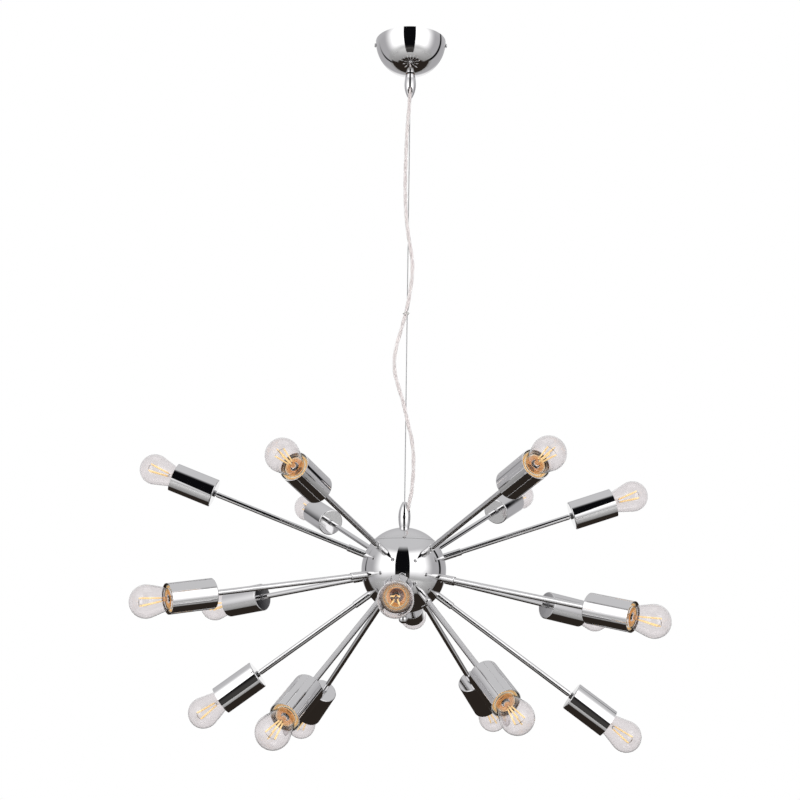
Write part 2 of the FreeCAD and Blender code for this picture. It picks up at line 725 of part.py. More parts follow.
# --- hub: shell with a hole for every arm, cap, centre rod, nuts, ball finial ----------------------
arms_of = {}
arm_turns = {}
reaches = {}
for tier, arms in ARMS.items():
    arms_of[tier] = []
    for number, (reach, aside, lift) in enumerate(arms, 1):
        name = f"{tier}_{number}"
        azimuth = f"{(number - 1) * 360 / len(arms)} + sizes.{tier}_start + sizes.{name}_aside"
        arm_turns[name] = f"{azimuth}; -sizes.{tier}_rise - sizes.{name}_lift; 0"
        reaches[name] = f"sizes.{reach}_reach"
        arms_of[tier].append(name)


def on_arm(template, name, start="0"):
    """A copy of a template that lies along +X, on one arm, moved out by start."""
    along = f"{start}; 0; 0"
    return copy(f"{template.Name}_on_{name}", template, "0; 0; -sizes.drop", arm_turns[name], along)


def on_arms(template, names, at_cup=False):
    return [on_arm(template, name, reaches[name] if at_cup else "0") for name in names]


all_arms = list(arm_turns)
hub_centre = "-sizes.drop"
arm_start = "(sizes.hub_radius - sizes.arm_inset)"
sleeve_end = "(sizes.hub_radius + sizes.sleeve_length)"
drill_radius = "sizes.arm_radius + 2 * sizes.arm_clearance"
drill = cylinder("drill", drill_radius, arm_start, sleeve_end, ALONG_X)
shell_ball = ball("shell_ball", "sizes.hub_radius", hub_centre)
shell_hollow = ball("shell_hollow", "sizes.hub_radius - sizes.hub_wall", hub_centre)
cap_height = "(sizes.hub_radius - sizes.cap_rise)"
seam = f"{hub_centre} + {cap_height}"
shell_open = cylinder("shell_open", "sizes.hub_radius", seam, f"{seam} + sizes.hub_radius")
finial_centre = f"{hub_centre} - sizes.hub_radius - sizes.finial_drop"
rod_end_bore = "sizes.rod_end + sizes.thread_clearance"
finial_hole = cylinder("finial_hole", rod_end_bore, finial_centre, hub_centre)
arm_holes = group("arm_holes", on_arms(drill, all_arms))
shell = cut("shell_cut", shell_ball, shell_hollow, shell_open, finial_hole, arm_holes)
keep(shell, "hub_shell")
cap_ball = ball("cap_ball", "sizes.hub_radius", hub_centre)
cap_hollow = ball("cap_hollow", "sizes.hub_radius - sizes.cap_wall", hub_centre)
cap_seam = f"{seam} + sizes.seat_clearance"
cap_slab = cylinder("cap_slab", "sizes.hub_radius", cap_seam, f"{cap_seam} + sizes.hub_radius")
cap_dome = cut("cap_dome", common("cap_solid", cap_ball, cap_slab), cap_hollow)
opening_radius = f"sqrt((sizes.hub_radius - sizes.hub_wall) ^ 2 - {cap_height} ^ 2)"
collar_radius = f"{opening_radius} - sizes.collar_clearance"
collar_top = (
    f"{hub_centre} + sqrt((sizes.hub_radius - sizes.cap_wall / 2) ^ 2"
    f" - ({collar_radius} - sizes.cap_collar) ^ 2)"
)
collar_low = f"{seam} - sizes.cap_collar_depth"
collar_ring = cylinder("collar_ring", collar_radius, collar_low, collar_top)
collar_bore = cylinder("collar_bore", f"{collar_radius} - sizes.cap_collar", collar_low, collar_top)
cap_core = ball("cap_core", "sizes.hub_radius - sizes.cap_wall / 2", hub_centre)
collar_trim = common("collar_trim", cut("collar", collar_ring, collar_bore), cap_core)
cap_hole = cylinder("cap_hole", big_bore, hub_centre, f"{hub_centre} + sizes.hub_radius + sizes.overcut")
keep(cut("cap_cut", fuse("cap_whole", cap_dome, collar_trim), cap_hole), "hub_cap")

nut_top_end = (
    f"{hub_centre} + sqrt((sizes.hub_radius - sizes.cap_wall) ^ 2 - sizes.big_nut ^ 2)"
    " - sizes.seat_clearance"
)
nut_top_start = f"{nut_top_end} - sizes.big_nut_height"
nut_low_start = (
    f"{hub_centre} - sqrt((sizes.hub_radius - sizes.hub_wall) ^ 2 - sizes.small_nut ^ 2)"
    " + sizes.seat_clearance"
)
nut_low_end = f"{nut_low_start} + sizes.small_nut_height"
hub_nuts = [
    nut("hub_nut_top", "sizes.big_nut", big_bore, nut_top_start, nut_top_end),
    nut("hub_nut_low", "sizes.small_nut", rod_end_bore, nut_low_start, nut_low_end),
]
keep(group("hub_nut_pair", hub_nuts), "hub_nuts")
rod_shoulder = f"{nut_low_end} + sizes.seat_clearance"
rod_bottom = f"{finial_centre} + sizes.rod_end"
rod_thick = cylinder(
    "rod_thick",
    "sizes.thread_radius",
    rod_shoulder,
    f"{lower_base} + sizes.grip_thread_depth - sizes.seat_clearance",
)
rod_thin = cylinder("rod_thin", "sizes.rod_end", rod_bottom, rod_shoulder)
keep(fuse("centre_rod", rod_thick, rod_thin), "hub_centre_rod")
finial_ball = ball("finial_whole", "sizes.finial_radius", finial_centre)
finial_collar = cylinder("finial_collar", "sizes.finial_collar", finial_centre, hub_centre)
finial_seat = ball("finial_seat", hub_seat, hub_centre)
finial_bore = cylinder(
    "finial_bore", rod_end_bore, f"{rod_bottom} - sizes.seat_clearance", hub_centre
)
finial_blank = fuse("finial_blank", finial_ball, finial_collar)
keep(cut("finial", finial_blank, finial_seat, finial_bore), "finial_ball")

# --- arm templates, along +X from the hub's centre ------------------------------------------------
sleeve_body = turned(
    "sleeve_body",
    [
        ("sizes.arm_radius + sizes.arm_clearance", "0"),
        ("sizes.sleeve_radius", "0"),
        ("sizes.sleeve_radius", f"{sleeve_end} - {arm_start} - sizes.sleeve_chamfer"),
        ("sizes.sleeve_radius - sizes.sleeve_chamfer", f"{sleeve_end} - {arm_start}"),
        ("sizes.arm_radius + sizes.arm_clearance", f"{sleeve_end} - {arm_start}"),
    ],
)
place(sleeve_body, x=arm_start, rotation=ALONG_X)
grub_place = f"{sleeve_end} - sizes.grub_inset"
grub_hole = cylinder(
    "grub_hole",
    "sizes.grub_radius + sizes.thread_clearance",
    "-sizes.sleeve_radius - sizes.overcut",
    "0",
    x=grub_place,
)
sleeve = cut("sleeve", sleeve_body, ball("sleeve_seat", hub_seat), grub_hole)
grub_screw = cylinder(
    "grub_screw",
    "sizes.grub_radius",
    "-sizes.sleeve_radius + sizes.thread_clearance",
    "-sizes.arm_radius - sizes.seat_clearance",
    x=grub_place,
)
lock_seat = "sqrt((sizes.hub_radius - sizes.hub_wall) ^ 2 - sizes.lock_nut ^ 2) - sizes.seat_clearance"
lock_start = f"{lock_seat} - sizes.lock_nut_height"
arm_nut_bore = "sizes.arm_radius + sizes.thread_clearance"
lock_nut = nut("lock_nut", "sizes.lock_nut", arm_nut_bore, lock_start, lock_seat, ALONG_X)
tubes = {}
for reach in ("long", "short"):
    tube_end = f"sizes.{reach}_reach - sizes.neck_gap"
    tube_solid = cylinder(f"tube_solid_{reach}", "sizes.arm_radius", arm_start, tube_end, ALONG_X)
    tube_bore = cylinder(f"tube_bore_{reach}", "sizes.arm_bore", arm_start, tube_end, ALONG_X)
    tubes[f"sizes.{reach}_reach"] = cut(f"tube_{reach}", tube_solid, tube_bore)

# --- templates at a cup, along +X from the cup's base ----------------------------------------------
nipple_radius = "sizes.arm_bore - sizes.nipple_clearance"
nut_inside = "sizes.cup_base + sizes.seat_clearance"
holder_start = f"{nut_inside} + sizes.cup_nut_height + sizes.seat_clearance"
holder_end = "sizes.cup_length - sizes.holder_recess"
cup_body = turned(
    "cup_body",
    [
        ("sizes.arm_bore + sizes.nipple_clearance", "0"),
        ("sizes.cup_radius - sizes.cup_round", "0", "sizes.cup_round", 1),
        ("sizes.cup_radius", "sizes.cup_round"),
        ("sizes.cup_radius", "sizes.cup_length"),
        ("sizes.cup_radius - sizes.cup_wall", "sizes.cup_length"),
        ("sizes.cup_radius - sizes.cup_wall", "sizes.cup_base"),
        ("sizes.arm_bore + sizes.nipple_clearance", "sizes.cup_base"),
    ],
)
place(cup_body, rotation=ALONG_X)
nipple = cylinder(
    "nipple",
    nipple_radius,
    "-sizes.neck_gap - sizes.nipple_grip",
    f"{holder_start} + sizes.holder_base + sizes.nipple_end",
    ALONG_X,
)
nut_bore = "sizes.arm_bore"
cup_nut = nut(
    "cup_nut", "sizes.cup_nut", nut_bore, nut_inside, f"{nut_inside} + sizes.cup_nut_height", ALONG_X
)
neck_nut = nut(
    "neck_nut",
    "sizes.neck_nut",
    nut_bore,
    "-sizes.neck_nut_height - sizes.seat_clearance",
    "-sizes.seat_clearance",
    ALONG_X,
)
nuts_at_cup = group("nuts_at_cup", [cup_nut, neck_nut])
holder_body = turned(
    "holder_body",
    [
        ("sizes.arm_bore + sizes.nipple_clearance", "0"),
        ("sizes.holder_cavity + sizes.holder_base", "0"),
        ("sizes.holder_waist", "sizes.holder_cavity_depth"),
        ("sizes.holder_waist", f"{holder_end} - ({holder_start}) - sizes.holder_ring"),
        ("sizes.holder_radius", f"{holder_end} - ({holder_start}) - sizes.holder_ring"),
        ("sizes.holder_radius", f"{holder_end} - ({holder_start})"),
        ("sizes.bulb_cap + sizes.cap_clearance", f"{holder_end} - ({holder_start})"),
        (
            "sizes.bulb_cap + sizes.cap_clearance",
            f"{holder_end} - ({holder_start}) - sizes.holder_bore_depth",
        ),
        ("sizes.contact_radius", f"{holder_end} - ({holder_start}) - sizes.holder_bore_depth"),
        ("sizes.contact_radius", "sizes.holder_base + sizes.holder_cavity_depth"),
        ("sizes.holder_cavity", "sizes.holder_base + sizes.holder_cavity_depth"),
        ("sizes.holder_cavity", "sizes.holder_base"),
        ("sizes.arm_bore + sizes.nipple_clearance", "sizes.holder_base"),
    ],
)
place(holder_body, x=holder_start, rotation=ALONG_X)
contact_seat = f"{holder_end} - sizes.holder_bore_depth"
bulb_centre = "sizes.cup_length + sizes.bulb_front"
bulb_end = (
    f"{bulb_centre} - sizes.bulb_neck_length - sizes.bulb_cap_length - sizes.bulb_tip_length"
)
contact_plate = cylinder(
    "contact_plate",
    "sizes.contact_radius + sizes.contact_pin",
    f"{contact_seat} + sizes.seat_clearance",
    f"{contact_seat} + sizes.contact_height",
    ALONG_X,
)
contact_spring = cylinder(
    "contact_spring",
    "sizes.contact_pin",
    f"{contact_seat} + sizes.seat_clearance",
    f"{bulb_end} - sizes.seat_clearance",
    ALONG_X,
)
contact = fuse("contact", contact_plate, contact_spring)

# --- bulb: glass globe whose neck leaves it tangentially, screw cap, stem and four filaments --------
# Heights run from the bottom contact to the crown. The line of the neck touches the globe at an
# angle found from the neck's end, seen from the middle of the globe.
globe_at = "(sizes.bulb_tip_length + sizes.bulb_cap_length + sizes.bulb_neck_length)"
collar_at = "(sizes.bulb_tip_length + sizes.bulb_cap_length)"


def touch(radius, neck, length):
    """Where the line from the neck's end touches the globe: its radius and height."""
    reach = f"sqrt(({length}) ^ 2 + ({neck}) ^ 2)"
    angle = f"(atan(({neck}) / ({length})) + acos(({radius}) / {reach}))"
    return f"({radius}) * sin({angle})", f"{globe_at} - ({radius}) * cos({angle})"


globe = "sizes.bulb_radius"
inner_globe = "sizes.bulb_radius - sizes.glass_wall"
neck = "sizes.bulb_neck"
inner_neck = "sizes.bulb_neck - sizes.glass_wall"
neck_length = "sizes.bulb_neck_length"
inner_length = "sizes.bulb_neck_length - sizes.glass_wall"
floor_at = f"({collar_at} + sizes.glass_wall)"
bulb_glass = turned(
    "bulb_glass",
    [
        ("0", "0"),
        ("sizes.bulb_tip", "0"),
        ("sizes.bulb_tip + sizes.cap_bevel", "sizes.bulb_tip_length / 2"),
        ("sizes.bulb_cap - sizes.cap_bevel", "sizes.bulb_tip_length"),
        ("sizes.bulb_cap", "sizes.bulb_tip_length + sizes.cap_bevel"),
        ("sizes.bulb_cap", collar_at),
        (neck, collar_at),
        (*touch(globe, neck, neck_length), globe, 1),
        ("0", f"{globe_at} + {globe}"),
        ("0", f"{globe_at} + {inner_globe}", inner_globe, -1),
        touch(inner_globe, inner_neck, inner_length),
        (inner_neck, floor_at),
        ("sizes.stem_radius", floor_at),
        ("sizes.stem_top", f"{floor_at} + sizes.stem_length"),
        ("0", f"{floor_at} + sizes.stem_length"),
    ],
)
filaments = []
foot_at = f"{floor_at} + sizes.stem_length - sizes.filament_sink"
for number in range(4):
    filament = doc.addObject("Part::Cylinder", f"filament_{number + 1}")
    filament.setExpression("Radius", "sizes.filament_radius")
    filament.setExpression("Height", "sizes.filament_length")
    filament.setExpression(
        "Placement",
        f"placement(vector(0; 0; {foot_at}); rotation({45 + 90 * number}; 0; 0))"
        " * placement(vector(sizes.filament_circle; 0; 0); rotation(0; sizes.filament_splay; 0))",
    )
    filaments.append(filament)
bulb = fuse("bulb", bulb_glass, *filaments)
place(bulb, x=bulb_end, rotation=ALONG_X)

# --- the pieces of all arms, gathered by tier or by kind ---------------------------------------------
for tier, names in arms_of.items():
    keep(group(f"{tier}_sleeves", on_arms(sleeve, names)), f"{tier}_arm_sleeves")
    tube_copies = [on_arm(tubes[reaches[name]], name) for name in names]
    keep(group(f"{tier}_tubes", tube_copies), f"{tier}_arm_rods")
    keep(group(f"{tier}_cup_group", on_arms(cup_body, names, True)), f"{tier}_cups")
    keep(group(f"{tier}_holder_group", on_arms(holder_body, names, True)), f"{tier}_lampholders")
keep(group("grub_screws", on_arms(grub_screw, all_arms)), "sleeve_screws")
keep(group("lock_nuts", on_arms(lock_nut, all_arms)), "arm_lock_nuts")
keep(group("nipples", on_arms(nipple, all_arms, True)), "cup_nipples")
keep(group("all_cup_nuts", on_arms(nuts_at_cup, all_arms, True)), "cup_nuts")
keep(group("contacts", on_arms(contact, all_arms, True)), "holder_contacts")
for name in all_arms:
    keep(group(f"bulb_{name}_piece", on_arms(bulb, [name], True)), f"bulb_{name}")

# --- check and write -----------------------------------------------------------------------------------
doc.recompute()
for item in doc.Objects:
    if "Invalid" in item.State or "Error" in item.State:
        raise RuntimeError(f"{item.Name} failed: {item.State}")
for piece in parts:
    if piece.Shape.isNull() or not piece.Shape.isValid() or not piece.Shape.Solids:
        raise RuntimeError(f"{piece.Label} has no valid solid")
os.makedirs("parts", exist_ok=True)
for piece in parts:
    piece.Shape.exportStep(os.path.join("parts", f"{piece.Label}.step"))
print(len(parts), "sub-parts,", sum(len(piece.Shape.Solids) for piece in parts), "solids")
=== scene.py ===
"""Dresses the ball-hub chandelier: polished metal, clear bulbs, cord, wire and studio."""

import json
import math

import bmesh
import bpy
import numpy as np
from bpy.props import FloatProperty, FloatVectorProperty, IntProperty, PointerProperty
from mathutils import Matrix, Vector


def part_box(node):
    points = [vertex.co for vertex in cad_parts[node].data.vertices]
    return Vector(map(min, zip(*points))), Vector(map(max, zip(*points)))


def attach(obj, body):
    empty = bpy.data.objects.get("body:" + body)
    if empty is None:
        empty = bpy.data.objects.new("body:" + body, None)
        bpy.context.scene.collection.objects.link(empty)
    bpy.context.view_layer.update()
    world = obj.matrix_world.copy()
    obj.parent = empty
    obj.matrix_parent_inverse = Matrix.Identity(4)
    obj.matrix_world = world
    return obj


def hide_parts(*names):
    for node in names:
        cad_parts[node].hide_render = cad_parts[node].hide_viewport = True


bl_info = {
    "name": "Ball hub chandelier",
    "version": (1, 0, 0),
    "blender": (4, 5, 0),
    "location": "3D View > Sidebar > Chandelier",
    "description": "Metals, clear bulbs, supply cord, wire and studio for the packed chandelier",
    "category": "Object",
}

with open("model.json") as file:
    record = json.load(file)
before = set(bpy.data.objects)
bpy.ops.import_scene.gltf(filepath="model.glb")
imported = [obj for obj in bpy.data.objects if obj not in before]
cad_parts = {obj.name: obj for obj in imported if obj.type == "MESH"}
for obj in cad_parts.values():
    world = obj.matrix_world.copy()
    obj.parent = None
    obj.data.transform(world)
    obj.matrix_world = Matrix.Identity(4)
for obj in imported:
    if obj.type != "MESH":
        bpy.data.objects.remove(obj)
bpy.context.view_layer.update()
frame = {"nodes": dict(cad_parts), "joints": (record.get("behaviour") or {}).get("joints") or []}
NODES = frame["nodes"]
HUB_LOW, HUB_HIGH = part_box("hub_shell")
HUB_RADIUS = (HUB_HIGH.x - HUB_LOW.x) / 2
HUB_CENTRE = np.array([0.0, 0.0, HUB_LOW.z + HUB_RADIUS])
UPWARDS = (0, 0, 1)

# The cord's route, in metres: from the bottom of the upper grip's socket to that of the lower one.
CORD_ROUTE = (
    (0.0, -0.0028, -0.0736),
    (0.0, -0.01156, -0.10057),
    (-0.0040, -0.0098, -0.152),
    (-0.0060, -0.0060, -0.225),
    (-0.0046, -0.0063, -0.279),
    (0.0002, -0.0068, -0.323),
    (0.0086, -0.0030, -0.366),
    (0.0040, -0.0036, -0.412),
    (-0.0020, -0.0037, -0.443),
    (-0.0094, -0.0022, -0.471),
    (-0.0166, -0.0004, -0.496),
    (-0.0193, 0.0006, -0.521),
    (-0.0156, -0.0014, -0.545),
    (-0.0042, -0.0058, -0.579),
    (0.0028, -0.0072, -0.611),
    (0.0100, -0.0056, -0.638),
    (0.0126, -0.0046, -0.664),
    (0.0122, -0.0058, -0.693),
    (0.00947, -0.00663, -0.7235),
    (0.00229, -0.00161, -0.75047),
)
CORD_LENGTH = 0.6876
CORD_POINTS = 420
# A core stands off the cord's line by this much of its radius, and stops this many points early.
CORE_OFFSET = 1.12
CORE_TRIM = 2
# The wire's strands follow every point of its line, its thicker middle every 13th.
WIRE_POINTS = 521
WIRE_SKIP = 13
STRANDS = 6
MIDDLE_STRAND = 1.1

# From a bulb's crown back to the face of its holder.
HOLDER_FACE = 0.0564
# Turned profiles, each point its distance along the axis and its radius, in metres.
# From the holder's face: rim round the bulb's neck, and a thin dark sleeve inside the cup's mouth, painted
# shade.
HOLDER_RIM = (
    (0.0, 0.0150),
    (0.0002, 0.0149),
    (0.0006, 0.0160),
    (0.0010, 0.0172),
    (0.0006, 0.0174),
    (0.0, 0.0172),
    (0.0, 0.0150),
)
MOUTH_SHADE_SLEEVE = (
    (0.0002, 0.01995),
    (0.0038, 0.01995),
    (0.0038, 0.01985),
    (0.0002, 0.01985),
    (0.0002, 0.01995),
)
# From the end of the bulb's neck: the glass stem.
STEM_HEIGHT = 0.0090
STEM = (
    (0.001, 0.0),
    (0.001, 0.0062),
    (0.002, 0.0050),
    (0.004, 0.0036),
    (0.006, 0.0031),
    (STEM_HEIGHT - 0.001, 0.0030),
    (STEM_HEIGHT, 0.0022),
    (STEM_HEIGHT, 0.0),
)
# From the stem's top: the bead that the lead wires leave.
LEAD_BEAD = ((-0.0002, 0.0), (-0.0002, 0.0016), (0.0008, 0.0016), (0.0008, 0.0))
# From the point under the crown where the wires of the filaments meet: their knot.
CROWN_KNOT = ((-0.0008, 0.0), (-0.0006, 0.0007), (0.0, 0.0010), (0.0006, 0.0007), (0.0008, 0.0))
# From the back of the cap: end contact and insulator.
CAP_TIP = (
    (-0.0020, 0.0),
    (-0.0020, 0.0042),
    (-0.0012, 0.0050),
    (-0.0006, 0.0090),
    (0.0010, 0.0120),
    (0.0052, 0.0092),
    (0.0060, 0.0),
)
# A filament's foot above the stem's top and off the axis, and its rounded ends.
FOOT_RISE = 0.0022
FOOT_OUT = 0.0030
FILAMENT_END = 0.0008
LEAD_RADIUS = 0.00028
# The wire from a filament's tip to the knot, and how far it bows outwards.
BOW_RADIUS = 0.00025
BOW_RISE = 0.0007
# Screw cap: lip at its mouth, half its thread's depth, the thread's run-out, and the grid's size.
CAP_LIP = 0.001
CAP_THREAD = 0.0004
CAP_RUN_OUT = 0.002
CAP_ROWS = 73
CAP_STEPS = 40
# Numbers of the finishes inside a bulb.
STEM_GLASS, PHOSPHOR, LEAD, CAP_INSIDE, RESIN, CAP_SHELL = range(6)

# Noise scales: plating ripple, drawn glass and phosphor beads.
RIPPLE = 24.0
DRAWN = 14.0
BEADS = 700.0
# Depths in metres: plating ripple, orange peel of moulded pieces and phosphor beads.
RIPPLE_DEPTH = 0.0002
PEEL_DEPTH = 0.00004
BEAD_DEPTH = 0.0001

SENSOR_WIDTH = 36.0
FAR_CLIP = 60.0
FLOOR_RINGS = (4.5, 2.5, 1.0, 0.0)
# The dark mat and the feet of the dark sheets stand this far above the floor.
MAT_RISE = 0.05
WHITE = (1.0, 1.0, 1.0)
BLACK = (0.0, 0.0, 0.0)
CARD_BLACK = (0.004, 0.004, 0.005)
CARD_BROWN = (0.027, 0.021, 0.017)
CARD_GREY = (0.055, 0.052, 0.05)
ROOM_BELOW = (0.47, 0.465, 0.48)
ROOM_ABOVE = (0.66, 0.66, 0.67)
FILL = (0.5, 0.5, 0.505)
# Where the room turns into the white backdrop, and where it turns lighter: parts of a direction.
BACKDROP_EDGE = (0.93, 0.985)
CEILING_EDGE = (0.2, 0.85)
# Each lamp's name, place and size in metres, and power in watts.
LAMPS = (
    ("lamp_left", (-1.72, -2.2, -0.45), (1.5, 2.7), 21),
    ("lamp_right", (1.72, -2.2, -0.45), (1.5, 2.7), 21),
    ("lamp_top", (0.0, -0.3, 1.9), (2.2, 1.6), 14),
)


class ChandelierMetal(bpy.types.PropertyGroup):
    chrome: FloatVectorProperty(
        name="Chrome",
        description="Colour of the polished plating",
        subtype="COLOR",
        default=(0.82, 0.815, 0.82),
    )
    polish: FloatProperty(
        name="Polish",
        description="Roughness of the plating",
        default=0.03,
        min=0.0,
        max=1.0,
        subtype="FACTOR",
    )
    zinc: FloatVectorProperty(
        name="Zinc",
        description="Colour of nuts, strap and stem",
        subtype="COLOR",
        default=(0.55, 0.55, 0.56),
    )
    brass: FloatVectorProperty(
        name="Brass",
        description="Colour of turned brass",
        subtype="COLOR",
        default=(0.78, 0.58, 0.26),
    )


class ChandelierBulb(bpy.types.PropertyGroup):
    globe: FloatProperty(
        name="Globe radius", description="Outside of the glass globe", default=0.0225, unit="LENGTH"
    )
    wall: FloatProperty(
        name="Glass wall", description="Thickness of the glass", default=0.0008, unit="LENGTH"
    )
    neck: FloatProperty(
        name="Neck radius", description="Glass where it meets the cap", default=0.0145, unit="LENGTH"
    )
    neck_length: FloatProperty(
        name="Neck length", description="Middle of the globe to the cap", default=0.032, unit="LENGTH"
    )
    cap: FloatProperty(
        name="Cap radius", description="Screw cap over its thread", default=0.0131, unit="LENGTH"
    )
    cap_length: FloatProperty(
        name="Cap length", description="Screw cap", default=0.022, unit="LENGTH"
    )
    pitch: FloatProperty(
        name="Thread pitch", description="Pitch of the cap's thread", default=0.0036, unit="LENGTH"
    )
    filaments: IntProperty(
        name="Filaments", description="Number of glowing sticks", default=4, min=1, max=8
    )
    filament_length: FloatProperty(
        name="Filament length", description="One stick", default=0.029, unit="LENGTH"
    )
    filament_radius: FloatProperty(
        name="Filament radius", description="One stick", default=0.00105, unit="LENGTH"
    )
    splay: FloatProperty(
        name="Splay",
        description="How far each stick leans out",
        default=math.radians(8.5),
        subtype="ANGLE",
    )
    tint: FloatVectorProperty(
        name="Glass tint",
        description="Colour of the glass",
        subtype="COLOR",
        default=(0.870, 0.846, 0.850),
    )
    glow: FloatVectorProperty(
        name="Filament colour",
        description="Phosphor of the sticks",
        subtype="COLOR",
        default=(1.0, 0.72, 0.32),
    )


class ChandelierCord(bpy.types.PropertyGroup):
    radius: FloatProperty(
        name="Cord radius", description="Clear jacket", default=0.0028, unit="LENGTH"
    )
    core: FloatProperty(
        name="Core radius", description="One insulated core", default=0.00105, unit="LENGTH"
    )
    core_lay: FloatProperty(
        name="Core lay", description="Length of one twist of the cores", default=0.055, unit="LENGTH"
    )
    wire: FloatProperty(
        name="Wire radius", description="Over the strands of the wire", default=0.00075, unit="LENGTH"
    )
    wire_lay: FloatProperty(
        name="Wire lay", description="Length of one twist of the strands", default=0.014, unit="LENGTH"
    )
    jacket: FloatVectorProperty(
        name="Jacket",
        description="Colour of the clear jacket",
        subtype="COLOR",
        default=(0.97, 0.945, 0.945),
    )


class ChandelierStudio(bpy.types.PropertyGroup):
    focal: FloatProperty(name="Focal length", description="Camera lens in mm", default=61.37)
    eye: FloatVectorProperty(
        name="Camera place",
        description="Where the photograph was taken from",
        default=(0.0201, -2.0118, -0.9592),
        unit="LENGTH",
    )
    pitch: FloatProperty(
        name="Pitch", description="Camera looks up", default=math.radians(10.779), subtype="ANGLE"
    )
    yaw: FloatProperty(
        name="Yaw", description="Camera looks right", default=math.radians(-0.83), subtype="ANGLE"
    )
    roll: FloatProperty(
        name="Roll", description="Camera leans", default=math.radians(0.81), subtype="ANGLE"
    )
    floor: FloatProperty(name="Floor", description="Height of the floor", default=-2.35, unit="LENGTH")
    gloss: FloatProperty(
        name="Softbox", description="How bright metal sees the softboxes", default=1.6
    )


# --- shapes ---------------------------------------------------------------------------------------


def grid_faces(rows, columns, around):
    """Quads between neighbouring rows and columns of a point grid; around closes each row on itself."""
    row = np.arange(rows - 1)[:, None]
    column = np.arange(columns if around else columns - 1)[None, :]
    here = row * columns + column
    beside = row * columns + (column + 1) % columns
    return np.stack([here, beside, beside + columns, here + columns], axis=-1).reshape(-1, 4)


def across(direction):
    """
    A direction as a unit vector, and two more that stand square to it and to each other: the cross
    of a fixed helper with it, and the cross of it with the first.
    """
    d = np.asarray(direction, float) / np.linalg.norm(direction)
    helper = np.array([0.0, 0.0, 1.0]) if abs(d[2]) < 0.9 else np.array([0.0, 1.0, 0.0])
    first = np.cross(helper, d)
    first /= np.linalg.norm(first)
    return d, first, np.cross(d, first)


def beside_path(path):
    """
    Two unit vectors at each point of a path, square to it and to each other: the cross of its
    direction with a fixed helper, and the cross of its direction with the first.
    """
    along = np.gradient(path, axis=0)
    along /= np.linalg.norm(along, axis=1)[:, None]
    first = np.cross(along, np.array([0.31, 0.95, 0.05]))
    first /= np.linalg.norm(first, axis=1)[:, None]
    return first, np.cross(along, first)


def around(steps, first, second):
    """cos(angle) * first + sin(angle) * second, for evenly spaced angles of a whole turn."""
    angle = np.arange(steps) * 2 * math.pi / steps
    return np.cos(angle)[:, None] * first + np.sin(angle)[:, None] * second


def turned_grid(profile, origin, direction, steps=48):
    """
    A profile of (distance along, radius) carried round an axis: each point is origin + along * axis
    + radius * (cos(angle) * first + sin(angle) * second), for evenly spaced angles.
    """
    d, first, second = across(direction)
    along, radius = np.asarray(profile, float).T
    ring = around(steps, first, second)
    return np.asarray(origin) + along[:, None, None] * d + radius[:, None, None] * ring


def started(profile, start):
    """A turned profile with its distances counted from start."""
    return np.array(profile) + (start, 0.0)


def tube_grid(path, radius, steps=10):
    """
    A tube along a path: at each point a circle of the given radius stands square to the path, on
    two side vectors made from the path's direction and a fixed helper.
    """
    first, second = beside_path(path)
    return path[:, None, :] + radius * around(steps, first[:, None, :], second[:, None, :])


def linked(name, data):
    """A new object in the scene, at the origin and unturned."""
    piece = bpy.data.objects.new(name, data)
    bpy.context.scene.collection.objects.link(piece)
    return piece


def placed(right, up, back, place):
    """World matrix of an object with these three axes, standing at this place."""
    matrix = np.eye(4)
    matrix[:3] = np.stack([right, up, back, place], axis=1)
    return matrix.T


def route_curve(name, route):
    """One open NURBS spline through the route's control points."""
    curve = bpy.data.curves.new(name, "CURVE")
    curve.dimensions = "3D"
    curve.resolution_u = 12
    spline = curve.splines.new("NURBS")
    spline.points.add(len(route) - 1)
    spline.points.foreach_set("co", [c for point in route for c in (*point, 1.0)])
    spline.order_u = 3
    spline.use_endpoint_u = True
    return linked(name, curve)


def smooth_line(route, count):
    """Points of a route's spline, in order, spaced evenly along it."""
    bare = route_curve("route_line", route)
    mesh = bpy.data.meshes.new_from_object(bare)
    points = np.empty(len(mesh.vertices) * 3, np.float32)
    mesh.vertices.foreach_get("co", points)
    points = points.reshape(-1, 3).astype(float)
    bpy.data.objects.remove(bare)
    bpy.data.meshes.remove(mesh)
    steps = np.r_[0, np.cumsum(np.linalg.norm(np.diff(points, axis=0), axis=1))]
    even = np.linspace(0, steps[-1], count)
    return np.stack([np.interp(even, steps, points[:, k]) for k in range(3)], axis=1)


def make_piece(name, grids, materials, body, caps=True):
    """
    One mesh object from several grids closed round each row. A grid comes with the number of its
    material, or one number for each gap between its rows. Its two ends are closed by a face where
    caps is set; poles merge to one point.
    """
    points = []
    faces = []
    numbers = []
    count = 0
    for grid, number in grids:
        rows, columns, _ = grid.shape
        flat = grid.reshape(-1, 3)
        quads = grid_faces(rows, columns, True) + count
        gaps = np.broadcast_to(number, rows - 1).tolist()
        faces += quads.tolist()
        numbers += np.repeat(gaps, columns).tolist()
        for row in (0, rows - 1) if caps else ():
            if np.ptp(grid[row], axis=0).max() > 1e-9:
                ring = np.arange(columns) + count + row * columns
                faces.append((ring if row else ring[::-1]).tolist())
                numbers.append(gaps[-1] if row else gaps[0])
        points.append(flat)
        count += len(flat)
    mesh = bpy.data.meshes.new(name)
    mesh.from_pydata(np.concatenate(points), [], faces)
    mesh.polygons.foreach_set("material_index", numbers)
    mesh.polygons.foreach_set("use_smooth", [True] * len(mesh.polygons))
    work = bmesh.new()
    work.from_mesh(mesh)
    bmesh.ops.remove_doubles(work, verts=work.verts, dist=1e-7)
    bmesh.ops.recalc_face_normals(work, faces=work.faces)
    work.to_mesh(mesh)
    work.free()
    for material in materials:
        mesh.materials.append(material)
    piece = linked(name, mesh)
    if body:
        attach(piece, body)
    return piece


# --- materials ------------------------------------------------------------------------------------


